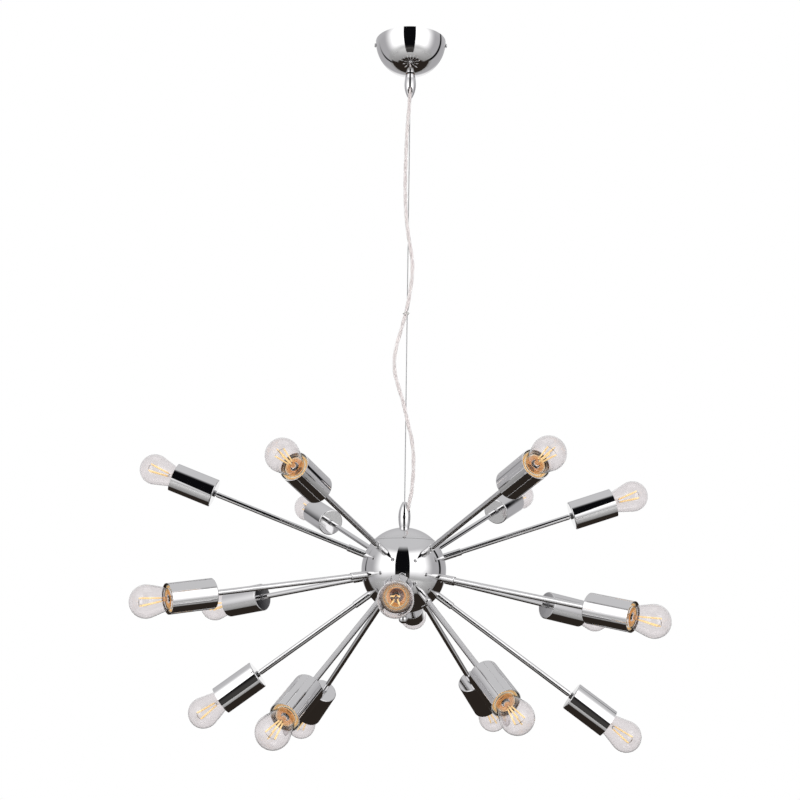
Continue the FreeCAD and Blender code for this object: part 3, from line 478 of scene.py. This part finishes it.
def new_material(name):
    material = bpy.data.materials.new(name)
    material.use_nodes = True
    return material, material.node_tree, material.node_tree.nodes["Principled BSDF"]


def add_noise(tree, scale, detail=3.0):
    """Noise on Object coordinates."""
    place = tree.nodes.new("ShaderNodeTexCoord")
    noise = tree.nodes.new("ShaderNodeTexNoise")
    noise.inputs["Scale"].default_value = scale
    noise.inputs["Detail"].default_value = detail
    tree.links.new(place.outputs["Object"], noise.inputs["Vector"])
    return noise.outputs["Fac"]


def spread(tree, source, low, high, start=0.3, end=0.7):
    """The source's start to end, spread over low to high; noise keeps mostly to 0.3 to 0.7."""
    spreader = tree.nodes.new("ShaderNodeMapRange")
    spreader.inputs["From Min"].default_value = start
    spreader.inputs["From Max"].default_value = end
    spreader.inputs["To Min"].default_value = low
    spreader.inputs["To Max"].default_value = high
    tree.links.new(source, spreader.inputs["Value"])
    return spreader.outputs["Result"]


def tone(tree, source, dark, light):
    """A colour between dark and light by the source."""
    mix = tree.nodes.new("ShaderNodeMix")
    mix.data_type = "RGBA"
    mix.inputs["A"].default_value = (*dark, 1)
    mix.inputs["B"].default_value = (*light, 1)
    tree.links.new(source, mix.inputs["Factor"])
    return mix.outputs["Result"]


def finish(tree, shader, colour_source, dark, light, rough_source, smooth, rough):
    """Colour from dark to light by one source, roughness from smooth to rough by another."""
    tree.links.new(tone(tree, colour_source, dark, light), shader.inputs["Base Color"])
    tree.links.new(spread(tree, rough_source, smooth, rough), shader.inputs["Roughness"])


def add_bump(tree, shader, source, strength, depth):
    bump = tree.nodes.new("ShaderNodeBump")
    bump.inputs["Strength"].default_value = strength
    bump.inputs["Distance"].default_value = depth
    tree.links.new(source, bump.inputs["Height"])
    tree.links.new(bump.outputs["Normal"], shader.inputs["Normal"])


def metal_material(name, colour, rough, grain=600.0, wear=0.04):
    """Metal whose colour, roughness and surface vary a little: plating ripple and fine polish marks."""
    material, tree, shader = new_material(name)
    shader.inputs["Metallic"].default_value = 1.0
    broad = add_noise(tree, RIPPLE)
    fine = add_noise(tree, grain, detail=2.0)
    dark = [max(0.0, channel - wear) for channel in colour]
    finish(tree, shader, broad, dark, colour, fine, rough * 0.7, rough * 1.3)
    add_bump(tree, shader, broad, strength=0.25, depth=RIPPLE_DEPTH)
    return material


def plastic_material(name, colour, rough, grain=900.0, shade=None, mottle=60.0, painted_glow=0.0):
    """
    Moulded plastic or porcelain: faint mottling towards the shade, fine orange peel. The last
    argument is the strength of its own warm light: painted glow, standing in for what the
    filaments light up behind the glass.
    """
    material, tree, shader = new_material(name)
    # Painted glow: the surface gives off light of its own colour, though it is no lamp.
    shader.inputs["Emission Color"].default_value = (*colour, 1)
    shader.inputs["Emission Strength"].default_value = painted_glow
    broad = add_noise(tree, mottle)
    fine = add_noise(tree, grain, detail=2.0)
    dark = shade or [channel * 0.9 for channel in colour]
    finish(tree, shader, broad, dark, colour, fine, rough * 0.8, rough * 1.25)
    add_bump(tree, shader, fine, strength=0.4, depth=PEEL_DEPTH)
    return material


def clear_material(name, tint, rough, index, clarity=1.0, wave=0.00005):
    """Clear glass or plastic, a little uneven in tint and thickness."""
    material, tree, shader = new_material(name)
    shader.inputs["IOR"].default_value = index
    shader.inputs["Transmission Weight"].default_value = clarity
    broad = add_noise(tree, DRAWN, detail=1.0)
    light = [min(1.0, channel * 1.01) for channel in tint]
    dark = [channel * 0.985 for channel in tint]
    finish(tree, shader, broad, dark, light, broad, rough * 0.5, rough * 1.5)
    add_bump(tree, shader, broad, strength=0.05, depth=wave)
    return material


def glow_material(name, colour, strength):
    """Phosphor-coated filament: beads along it, with a weak glow of its own."""
    material, tree, shader = new_material(name)
    beads = add_noise(tree, BEADS, detail=1.0)
    dark = [channel * 0.75 for channel in colour]
    tree.links.new(tone(tree, beads, dark, colour), shader.inputs["Base Color"])
    shader.inputs["Roughness"].default_value = 0.45
    shader.inputs["Emission Color"].default_value = (*colour, 1)
    shader.inputs["Emission Strength"].default_value = strength
    add_bump(tree, shader, beads, strength=0.5, depth=BEAD_DEPTH)
    return material


def dress(node, material):
    """Gives a carried-over solid its material."""
    mesh = NODES[node].data
    mesh.materials.clear()
    mesh.materials.append(material)


def bulb_reach(node, axis):
    """Distance from the hub's middle to a bulb's crown, along its arm."""
    mesh = NODES[node].data
    points = np.empty(len(mesh.vertices) * 3, np.float32)
    mesh.vertices.foreach_get("co", points)
    return ((points.reshape(-1, 3) - HUB_CENTRE) @ axis).max()


# --- operators ------------------------------------------------------------------------------------


class CHANDELIER_OT_metal(bpy.types.Operator):
    """Plating, zinc, brass, porcelain and plastic for the carried-over solids"""

    bl_idname = "chandelier.metal"
    bl_label = "Metal and holders"

    def execute(self, context):
        sizes = context.scene.chandelier_metal
        chrome = metal_material("polished_chrome", sizes.chrome, sizes.polish)
        zinc = metal_material("zinc_plate", sizes.zinc, rough=0.28, grain=900.0, wear=0.1)
        brass = metal_material("turned_brass", sizes.brass, rough=0.2, wear=0.1)
        # The porcelain's own warm light is painted glow, standing in for light from the bulbs.
        porcelain = plastic_material("painted_glow_holder_porcelain", (0.80, 0.74, 0.60), rough=0.3, painted_glow=0.2)
        white = plastic_material("block_plastic", (0.82, 0.82, 0.80), rough=0.35)
        for node in NODES:
            if node.startswith("bulb_") or node in ("supply_cord", "suspension_wire", "cord_tie"):
                continue
            if node.endswith("_lampholders"):
                dress(node, porcelain)
            elif node == "terminal_block":
                dress(node, white)
            elif node == "holder_contacts" or node.startswith("swivel_") and node != "swivel_stem":
                dress(node, brass)
            elif "nut" in node or node in ("mounting_bracket", "terminal_block_screw", "swivel_stem"):
                dress(node, zinc)
            else:
                dress(node, chrome)
        self.mouths()
        self.seam()
        return {"FINISHED"}

    def mouths(self):
        """
        Amber rim round each bulb's neck, a shallow dish on the holder's face, with a painted warm
        glow; and a thin dark sleeve in front of that face inside the cup's mouth: painted shade.
        """
        # The amber rim's own warm light is painted glow, standing in for the filaments lighting it.
        amber = plastic_material(
            "painted_glow_holder_rim",
            (0.80, 0.50, 0.20),
            rough=0.25,
            grain=300.0,
            shade=(0.60, 0.30, 0.10),
            painted_glow=0.35,
        )
        # Dark sleeve: painted shade inside the cup's mouth, in front of the chrome wall.
        dark = metal_material("mouth_shade_sleeve", (0.10, 0.07, 0.055), rough=0.3)
        rims = []
        shade_sleeves = []
        for joint in frame["joints"]:
            if joint["type"] == "slide":
                axis = np.array(joint["axis"], float)
                crown = bulb_reach(joint["child"].removesuffix("_body"), axis)
                face = HUB_CENTRE + axis * (crown - HOLDER_FACE)
                rims.append((turned_grid(HOLDER_RIM, face, axis, steps=40), 0))
                shade_sleeves.append((turned_grid(MOUTH_SHADE_SLEEVE, face, axis), 0))
        make_piece("painted_glow_holder_rims", rims, [amber], "pendant", caps=False)
        make_piece("mouth_shade_sleeves", shade_sleeves, [dark], "pendant", caps=False)

    def seam(self):
        """Dark line where the hub's cap meets the ball: a fine closed ring of round section."""
        low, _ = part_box("hub_cap")
        height = low.z - HUB_CENTRE[2]
        radius = math.sqrt(HUB_RADIUS**2 - height**2)
        angle = np.linspace(0, 2 * math.pi, 9)
        half = 0.00012
        section = np.stack([half * np.sin(angle), radius + half * np.cos(angle)], axis=1)
        dark = metal_material("seam_shadow", (0.05, 0.05, 0.05), rough=0.5)
        ring = turned_grid(section, (0, 0, low.z), UPWARDS, steps=96)
        make_piece("hub_cap_seam", [(ring, 0)], [dark], "pendant", caps=False)


class CHANDELIER_OT_bulbs(bpy.types.Operator):
    """Clear globe bulbs: glass, stem, lead wires, filaments and screw cap"""

    bl_idname = "chandelier.bulbs"
    bl_label = "Bulbs"

    def execute(self, context):
        sizes = context.scene.chandelier_bulb
        glass = clear_material("bulb_glass", sizes.tint, rough=0.004, index=1.47, wave=0.00001)
        stem_glass = clear_material("stem_glass", (0.96, 0.95, 0.94), rough=0.03, index=1.3)
        glow = glow_material("filament_phosphor", sizes.glow, strength=0.4)
        lead = metal_material("lead_wire", (0.35, 0.32, 0.3), rough=0.3)
        # The cap's inside has its own warm light: painted glow, standing in for the filaments' light.
        cap = plastic_material(
            "cap_inside",
            (0.74, 0.40, 0.13),
            rough=0.25,
            grain=300.0,
            shade=(0.42, 0.18, 0.05),
            painted_glow=0.4,
        )
        shell = metal_material("cap_shell", (0.72, 0.62, 0.42), rough=0.22, wear=0.1)
        resin = plastic_material("cap_resin", (0.16, 0.07, 0.03), rough=0.35)
        finishes = [stem_glass, glow, lead, cap, resin, shell]
        profile = self.glass_profile(sizes)
        joints = {joint["child"]: joint for joint in frame["joints"]}
        bulbs = sorted(node for node in NODES if node.startswith("bulb_"))
        if not bulbs:
            raise RuntimeError("the packed model has no bulbs")
        for node in bulbs:
            body = node + "_body"
            axis = np.array(joints[body]["axis"], float)
            centre = HUB_CENTRE + axis * (bulb_reach(node, axis) - sizes.globe)
            globe = [(turned_grid(profile, centre, axis, steps=80), 0)]
            envelope = make_piece(node + "_glass", globe, [glass], body, caps=False)
            envelope.visible_shadow = False
            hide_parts(node)
            inside = self.inner_grids(sizes, centre, axis)
            make_piece(node + "_inside", inside, finishes, body)
        return {"FINISHED"}

    def glass_profile(self, sizes):
        """
        Outer wall from the neck's end along the line that touches the globe, round the globe to the
        crown, then back along the inner wall, one glass thickness inside. Along is from the middle
        of the globe, outward.
        """
        line_points = 9
        arc_points = 48

        def wall(radius, neck, length):
            reach = math.hypot(length, neck)
            touch = math.atan2(neck, length) + math.acos(radius / reach)
            line = np.linspace(0, 1, line_points)[:-1, None]
            start = np.array([-length, neck])
            end = np.array([-radius * math.cos(touch), radius * math.sin(touch)])
            angle = np.linspace(touch, math.pi, arc_points)
            arc = np.stack([-radius * np.cos(angle), radius * np.sin(angle)], axis=1)
            arc[-1, 1] = 0.0
            return np.concatenate([start + line * (end - start), arc])

        thick = sizes.wall
        outer = wall(sizes.globe, sizes.neck, sizes.neck_length)
        inner = wall(sizes.globe - thick, sizes.neck - thick, sizes.neck_length - thick)
        return np.concatenate([outer, inner[::-1], outer[:1]])

    def cap_grid(self, sizes, centre, axis):
        """
        Screw cap: radius is the cap's less half the thread's depth, plus that half times the cosine
        of (turns of the pitch along the axis less the angle), fading out at both ends. It turns in
        at the mouth, runs back inside as a smooth wall and ends on the insulator.
        """
        d, first, second = across(axis)
        length = sizes.cap_length - CAP_LIP
        along = np.linspace(0, length, CAP_ROWS)
        angle = np.arange(CAP_STEPS) * 2 * math.pi / CAP_STEPS
        fade = np.clip(np.minimum(along - CAP_RUN_OUT, length - CAP_RUN_OUT - along) / CAP_RUN_OUT, 0, 1)
        turn = 2 * math.pi * along[:, None] / sizes.pitch - angle[None, :]
        outside = sizes.cap - CAP_THREAD + CAP_THREAD * fade[:, None] * np.cos(turn)
        # Inside, from the mouth: distance along and radius.
        inside = np.array(
            [
                [length, sizes.cap - 0.0012],
                [length * 0.5, sizes.cap - 0.0013],
                [0.004, 0.0095],
            ]
        )
        along = np.concatenate([along, inside[:, 0]])
        radius = np.concatenate([outside, np.repeat(inside[:, 1:], CAP_STEPS, axis=1)])
        start = centre - d * (sizes.neck_length + sizes.cap_length - CAP_LIP)
        ring = around(CAP_STEPS, first, second)
        return start + along[:, None, None] * d + radius[:, :, None] * ring[None, :, :]

    def inner_grids(self, sizes, centre, axis):
        """Stem, lead wires, filaments and cap of one bulb, each a closed turned form or a tube."""
        d, first, second = across(axis)
        neck = -sizes.neck_length
        back = neck - sizes.cap_length
        stem_top = neck + STEM_HEIGHT
        length = sizes.filament_length
        rise = length * math.cos(sizes.splay)
        knot = centre + d * (stem_top + FOOT_RISE + rise + FOOT_RISE)
        ends = np.array([0.0, 0.0, FILAMENT_END, length - FILAMENT_END, length, length])
        radii = sizes.filament_radius * np.array([0.0, 0.6, 1.0, 1.0, 0.6, 0.0])
        stick = np.stack([ends, radii], axis=1)
        grids = [
            (turned_grid(started(STEM, neck), centre, axis, steps=20), STEM_GLASS),
            (turned_grid(started(LEAD_BEAD, stem_top), centre, axis, steps=14), LEAD),
        ]
        bows = []
        for number in range(sizes.filaments):
            turn = (number + 0.5) * 2 * math.pi / sizes.filaments
            out = math.cos(turn) * first + math.sin(turn) * second
            lean = d * math.cos(sizes.splay) + out * math.sin(sizes.splay)
            foot = centre + d * (stem_top + FOOT_RISE) + out * FOOT_OUT
            tip = foot + lean * length
            grids.append((turned_grid(stick, foot, lean, steps=12), PHOSPHOR))
            # From the bead, straight to the stick and a little way into it.
            bead = centre + d * (stem_top + 0.0003) + out * 0.0010
            lead = np.array([bead, foot - lean * 0.0008, foot + lean * 0.0004])
            grids.append((tube_grid(lead, LEAD_RADIUS, steps=8), LEAD))
            bows.append(np.array([tip, tip * 0.6 + knot * 0.4 + d * BOW_RISE, knot]))
        for bow in bows:
            grids.append((tube_grid(bow, BOW_RADIUS, steps=8), LEAD))
        grids.append((turned_grid(CROWN_KNOT, knot, axis, steps=12), LEAD))
        # The cap is plated up to its mouth; the gaps between the rows past that are its inside.
        plated = [CAP_SHELL] * (CAP_ROWS - 1)
        screw_cap = self.cap_grid(sizes, centre, axis)
        grids.append((screw_cap, plated + [CAP_INSIDE] * (len(screw_cap) - CAP_ROWS)))
        grids.append((turned_grid(started(CAP_TIP, back), centre, axis, steps=24), RESIN))
        return grids


class CHANDELIER_OT_cord(bpy.types.Operator):
    """Clear supply cord with two twisted cores, on its free route"""

    bl_idname = "chandelier.cord"
    bl_label = "Supply cord"

    def execute(self, context):
        sizes = context.scene.chandelier_cord
        jacket = clear_material("cord_jacket", sizes.jacket, rough=0.1, index=1.25, clarity=0.9)
        core = plastic_material(
            "cord_core", (0.94, 0.92, 0.90), rough=0.3, shade=(0.76, 0.68, 0.68), mottle=11.0
        )
        cord = route_curve("supply_cord_jacket", CORD_ROUTE)
        cord.data.bevel_depth = sizes.radius
        cord.data.bevel_resolution = 6
        cord.data.use_fill_caps = True
        cord.data.materials.append(jacket)
        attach(cord, "pendant")
        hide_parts("supply_cord")
        line = smooth_line(CORD_ROUTE, CORD_POINTS)
        grids = self.core_grids(line, sizes)
        cores = make_piece("supply_cord_cores", grids, [core], "pendant")
        tie = self.tie_piece()
        return {"FINISHED"}

    def core_grids(self, line, sizes):
        """Two cores wound round the line: each stands off it, at an angle that grows evenly."""
        first, second = beside_path(line)
        run = np.linspace(0, CORD_LENGTH, len(line))
        grids = []
        for start in (0.0, math.pi):
            angle = start + run * 2 * math.pi / sizes.core_lay
            offset = np.cos(angle)[:, None] * first + np.sin(angle)[:, None] * second
            path = line + offset * (sizes.core * CORE_OFFSET)
            grids.append((tube_grid(path[CORE_TRIM:-CORE_TRIM], sizes.core), 0))
        return grids

    def tie_piece(self):
        """Small clear tie: a band round cord and wire with a rounded section."""
        low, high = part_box("cord_tie")
        centre = np.array((low + high) / 2)
        outer = (high.x - low.x) / 2
        half = (high.z - low.z) / 2
        thick = 0.0005
        angle = np.linspace(0, 2 * math.pi, 17)
        section = np.stack([half * np.sin(angle), outer - thick + thick * np.cos(angle)], axis=1)
        clear = clear_material("tie_plastic", (0.9, 0.9, 0.88), rough=0.15, index=1.4, clarity=0.7)
        band = [(turned_grid(section, centre, UPWARDS), 0)]
        tie = make_piece("cord_tie_band", band, [clear], "pendant", caps=False)
        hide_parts("cord_tie")
        return tie


class CHANDELIER_OT_wire(bpy.types.Operator):
    """Stranded steel wire that carries the hub"""

    bl_idname = "chandelier.wire"
    bl_label = "Suspension wire"

    def execute(self, context):
        sizes = context.scene.chandelier_cord
        steel = metal_material("wire_steel", (0.55, 0.55, 0.56), rough=0.25, grain=2000.0)
        low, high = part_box("suspension_wire")
        strand = sizes.wire / 3
        route = [(0, 0, high.z), (0, 0, (low.z + high.z) / 2), (0, 0, low.z)]
        line = smooth_line(route, WIRE_POINTS)
        middle = line[::WIRE_SKIP]
        turn = (high.z - line[:, 2]) * 2 * math.pi / sizes.wire_lay
        grids = [(tube_grid(middle, strand * MIDDLE_STRAND, steps=6), 0)]
        for number in range(STRANDS):
            angle = turn + number * 2 * math.pi / STRANDS
            offset = np.stack([np.cos(angle), np.sin(angle), 0 * angle], axis=1) * 2 * strand
            grids.append((tube_grid(line + offset, strand, steps=6), 0))
        wire = make_piece("suspension_wire_strands", grids, [steel], "pendant")
        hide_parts("suspension_wire")
        return {"FINISHED"}


class CHANDELIER_OT_studio(bpy.types.Operator):
    """Camera, lights, dark cards, floor and pale surroundings"""

    bl_idname = "chandelier.studio"
    bl_label = "Studio"

    def execute(self, context):
        sizes = context.scene.chandelier_studio
        self.camera(context, sizes)
        self.surroundings(context)
        self.floor(sizes)
        for name, place, size, power in LAMPS:
            self.lamp(name, place, size, power)
        self.mirrored(sizes)
        context.scene.view_settings.view_transform = "Standard"
        return {"FINISHED"}

    def camera(self, context, sizes):
        """Looks along yaw and pitch; its right and up turn by roll about that line."""
        pitch, yaw, roll = sizes.pitch, sizes.yaw, sizes.roll
        level = math.cos(pitch)
        ahead = np.array([math.sin(yaw) * level, math.cos(yaw) * level, math.sin(pitch)])
        right = np.cross(ahead, UPWARDS)
        right /= np.linalg.norm(right)
        up = np.cross(right, ahead)
        turned_right = right * math.cos(roll) + up * math.sin(roll)
        turned_up = up * math.cos(roll) - right * math.sin(roll)
        data = bpy.data.cameras.new("camera")
        data.lens = sizes.focal
        data.sensor_width = SENSOR_WIDTH
        data.clip_end = FAR_CLIP
        camera = linked("camera", data)
        camera.matrix_world = placed(turned_right, turned_up, -ahead, sizes.eye)
        context.scene.camera = camera

    def surroundings(self, context):
        """
        Pale world: white to the camera and through glass. Polished surfaces see the white backdrop
        behind the lamp, and the pale grey room on the other sides, lighter above.
        """
        world = bpy.data.worlds.new("studio")
        world.use_nodes = True
        tree = world.node_tree
        sky = tree.nodes["Background"]
        path = tree.nodes.new("ShaderNodeLightPath")
        seen = tree.nodes.new("ShaderNodeMath")
        seen.operation = "MAXIMUM"
        tree.links.new(path.outputs["Is Camera Ray"], seen.inputs[0])
        tree.links.new(path.outputs["Is Transmission Ray"], seen.inputs[1])
        way = tree.nodes.new("ShaderNodeTexCoord")
        parts = tree.nodes.new("ShaderNodeSeparateXYZ")
        tree.links.new(way.outputs["Generated"], parts.inputs["Vector"])
        behind = spread(tree, parts.outputs["Y"], 0.0, 1.0, *BACKDROP_EDGE)
        above = spread(tree, parts.outputs["Z"], 0.0, 1.0, *CEILING_EDGE)
        room = tone(tree, above, ROOM_BELOW, ROOM_ABOVE)
        shown = tone(tree, behind, BLACK, WHITE)
        tree.links.new(room, shown.node.inputs["A"])
        gloss = tone(tree, path.outputs["Is Glossy Ray"], FILL, WHITE)
        tree.links.new(shown, gloss.node.inputs["B"])
        whole = tone(tree, seen.outputs[0], BLACK, WHITE)
        tree.links.new(gloss, whole.node.inputs["A"])
        tree.links.new(whole, sky.inputs["Color"])
        context.scene.world = world

    def floor(self, sizes):
        """Round pale floor: rings of points from its edge in to its middle."""
        material = plastic_material("floor_paint", (0.86, 0.86, 0.85), rough=0.6)
        profile = [(0.0, radius) for radius in FLOOR_RINGS]
        grid = turned_grid(profile, (0, 0, sizes.floor), UPWARDS, steps=64)
        make_piece("floor", [(grid, 0)], [material], None, caps=False)

    def lamp(self, name, place, size, power):
        """Large soft lamp aimed at the hub; polished surfaces see the softboxes instead."""
        data = bpy.data.lights.new(name, "AREA")
        data.shape = "RECTANGLE"
        data.size, data.size_y = size
        data.energy = power
        away, first, second = across(np.array(place) - HUB_CENTRE)
        lamp = linked(name, data)
        lamp.matrix_world = placed(first, second, away, place)
        lamp.visible_glossy = False

    def mirrored(self, sizes):
        """
        What only polished surfaces see, each a part of an upright cylinder round the lamp: two
        softboxes, the dark gap between them and its foot, a dark strip outside each, the dark room
        below the backdrop and the dark mat under the lamp.
        """
        low = sizes.floor + MAT_RISE
        box = (-1.9, -0.59, 0.27, 1.75)
        gloss = sizes.gloss
        # Name, radius, four angles in degrees from the camera (right positive), four heights, colour
        # and strength. A sheet fades in over the first two stops and out over the last two.
        sheets = (
            ("softbox_left", 2.0, (-95, -49, -23, -22), box, WHITE, gloss),
            ("softbox_right", 2.0, (16, 17, 45, 88), box, WHITE, gloss),
            ("dark_gap", 2.35, (-22.5, -22, 16, 16.5), (low, -2.1, 1.5, 3.9), CARD_BLACK, 1),
            ("dark_gap_foot", 1.45, (-24, -21, 15, 18), (low, low + 0.05, -1.5, -0.9), CARD_GREY, 1),
            ("dark_strip_left", 2.6, (-128, -126, -122, -119), (low, low + 0.1, -0.9, 0.9), CARD_BLACK, 1),
            ("dark_strip_right", 2.6, (108, 111, 117, 121), (low, low + 0.1, 0.9, 1.7), CARD_BLACK, 1),
            ("dark_room", 1.25, (105, 111, 244, 250), (low, low + 0.1, -1.0, -0.86), CARD_BROWN, 1),
        )
        for name, radius, angles, heights, colour, strength in sheets:
            self.screen(name, radius, angles, heights, colour, strength)
        self.mat(low, CARD_BROWN)

    def screen(self, name, radius, angles, heights, colour, strength):
        """
        Point (radius * sin(angle), -radius * cos(angle), height). Its cover rises smoothly from 0
        to 1 over the first two angles or heights and falls over the last two, as t * t * (3 - 2 t).
        """
        columns = 45
        rows = 33

        def soft(value, stops):
            rise = np.clip((value - stops[0]) / (stops[1] - stops[0]), 0, 1)
            fall = np.clip((stops[3] - value) / (stops[3] - stops[2]), 0, 1)
            return rise * rise * (3 - 2 * rise) * fall * fall * (3 - 2 * fall)

        turns = np.array([*angles, *np.linspace(angles[0], angles[3], columns)])
        levels = np.array([*heights, *np.linspace(heights[0], heights[3], rows)])
        angle, height = np.meshgrid(np.sort(turns), np.sort(levels))
        turn = np.radians(angle)
        grid = np.stack([radius * np.sin(turn), -radius * np.cos(turn), height], axis=-1)
        cover = soft(angle, angles) * soft(height, heights)
        self.card(name, grid, cover.ravel(), False, colour, strength)

    def mat(self, low, colour):
        """
        Dark mat that reaches a little way forward and widens behind: each ring's radius is its share
        of a reach that grows with the angle from the camera. It fades out past its edge.
        """
        columns = 72
        shares = np.array([0.0, 0.35, 0.7, 0.92, 1.12, 1.8, 3.0])
        covers = np.array([1.0, 1.0, 1.0, 1.0, 0.45, 0.25, 0.0])
        turn = np.linspace(0, 2 * math.pi, columns, endpoint=False)
        away = np.degrees(np.arccos(np.cos(turn)))
        reach = np.interp(away, [0, 30, 60, 90, 100, 110], [0.62, 0.7, 0.85, 1.1, 1.4, 1.6])
        radius = shares[:, None] * reach[None, :]
        grid = np.stack([radius * np.sin(turn), -radius * np.cos(turn), low + 0 * radius], axis=-1)
        self.card("dark_mat", grid, np.repeat(covers, columns), True, colour, 1)

    def card(self, name, grid, cover, closed, colour, strength):
        """A glowing or dark sheet, see-through where its cover is 0."""
        material = bpy.data.materials.new(name)
        material.use_nodes = True
        tree = material.node_tree
        tree.nodes.clear()
        share = tree.nodes.new("ShaderNodeAttribute")
        share.attribute_name = "cover"
        clear = tree.nodes.new("ShaderNodeBsdfTransparent")
        light = tree.nodes.new("ShaderNodeEmission")
        light.inputs["Color"].default_value = (*colour, 1)
        light.inputs["Strength"].default_value = strength
        mix = tree.nodes.new("ShaderNodeMixShader")
        output = tree.nodes.new("ShaderNodeOutputMaterial")
        tree.links.new(share.outputs["Fac"], mix.inputs["Fac"])
        tree.links.new(clear.outputs["BSDF"], mix.inputs[1])
        tree.links.new(light.outputs["Emission"], mix.inputs[2])
        tree.links.new(mix.outputs["Shader"], output.inputs["Surface"])
        rows, columns, _ = grid.shape
        mesh = bpy.data.meshes.new(name)
        mesh.from_pydata(grid.reshape(-1, 3), [], grid_faces(rows, columns, closed).tolist())
        mesh.attributes.new("cover", "FLOAT", "POINT").data.foreach_set("value", cover)
        mesh.materials.append(material)
        card = linked(name, mesh)
        card.visible_camera = False
        card.visible_diffuse = False
        card.visible_transmission = False
        card.visible_shadow = False


class CHANDELIER_PT_panel(bpy.types.Panel):
    """Steps of dressing the chandelier"""

    bl_idname = "CHANDELIER_PT_panel"
    bl_label = "Chandelier"
    bl_space_type = "VIEW_3D"
    bl_region_type = "UI"
    bl_category = "Chandelier"

    def draw(self, context):
        for step in STEPS:
            self.layout.operator(step.bl_idname)


STEPS = (
    CHANDELIER_OT_studio,
    CHANDELIER_OT_cord,
    CHANDELIER_OT_wire,
    CHANDELIER_OT_metal,
    CHANDELIER_OT_bulbs,
)
GROUPS = {
    "chandelier_metal": ChandelierMetal,
    "chandelier_bulb": ChandelierBulb,
    "chandelier_cord": ChandelierCord,
    "chandelier_studio": ChandelierStudio,
}


def register():
    for item in (*GROUPS.values(), *STEPS, CHANDELIER_PT_panel):
        bpy.utils.register_class(item)
    for name, group in GROUPS.items():
        setattr(bpy.types.Scene, name, PointerProperty(type=group))


def unregister():
    for name in GROUPS:
        delattr(bpy.types.Scene, name)
    for item in (CHANDELIER_PT_panel, *reversed(STEPS), *GROUPS.values()):
        bpy.utils.unregister_class(item)


def main():
    """Registers the add-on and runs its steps."""
    register()
    bpy.ops.chandelier.studio()
    bpy.ops.chandelier.cord()
    bpy.ops.chandelier.wire()
    bpy.ops.chandelier.metal()
    bpy.ops.chandelier.bulbs()


if __name__ == "__main__":
    main()
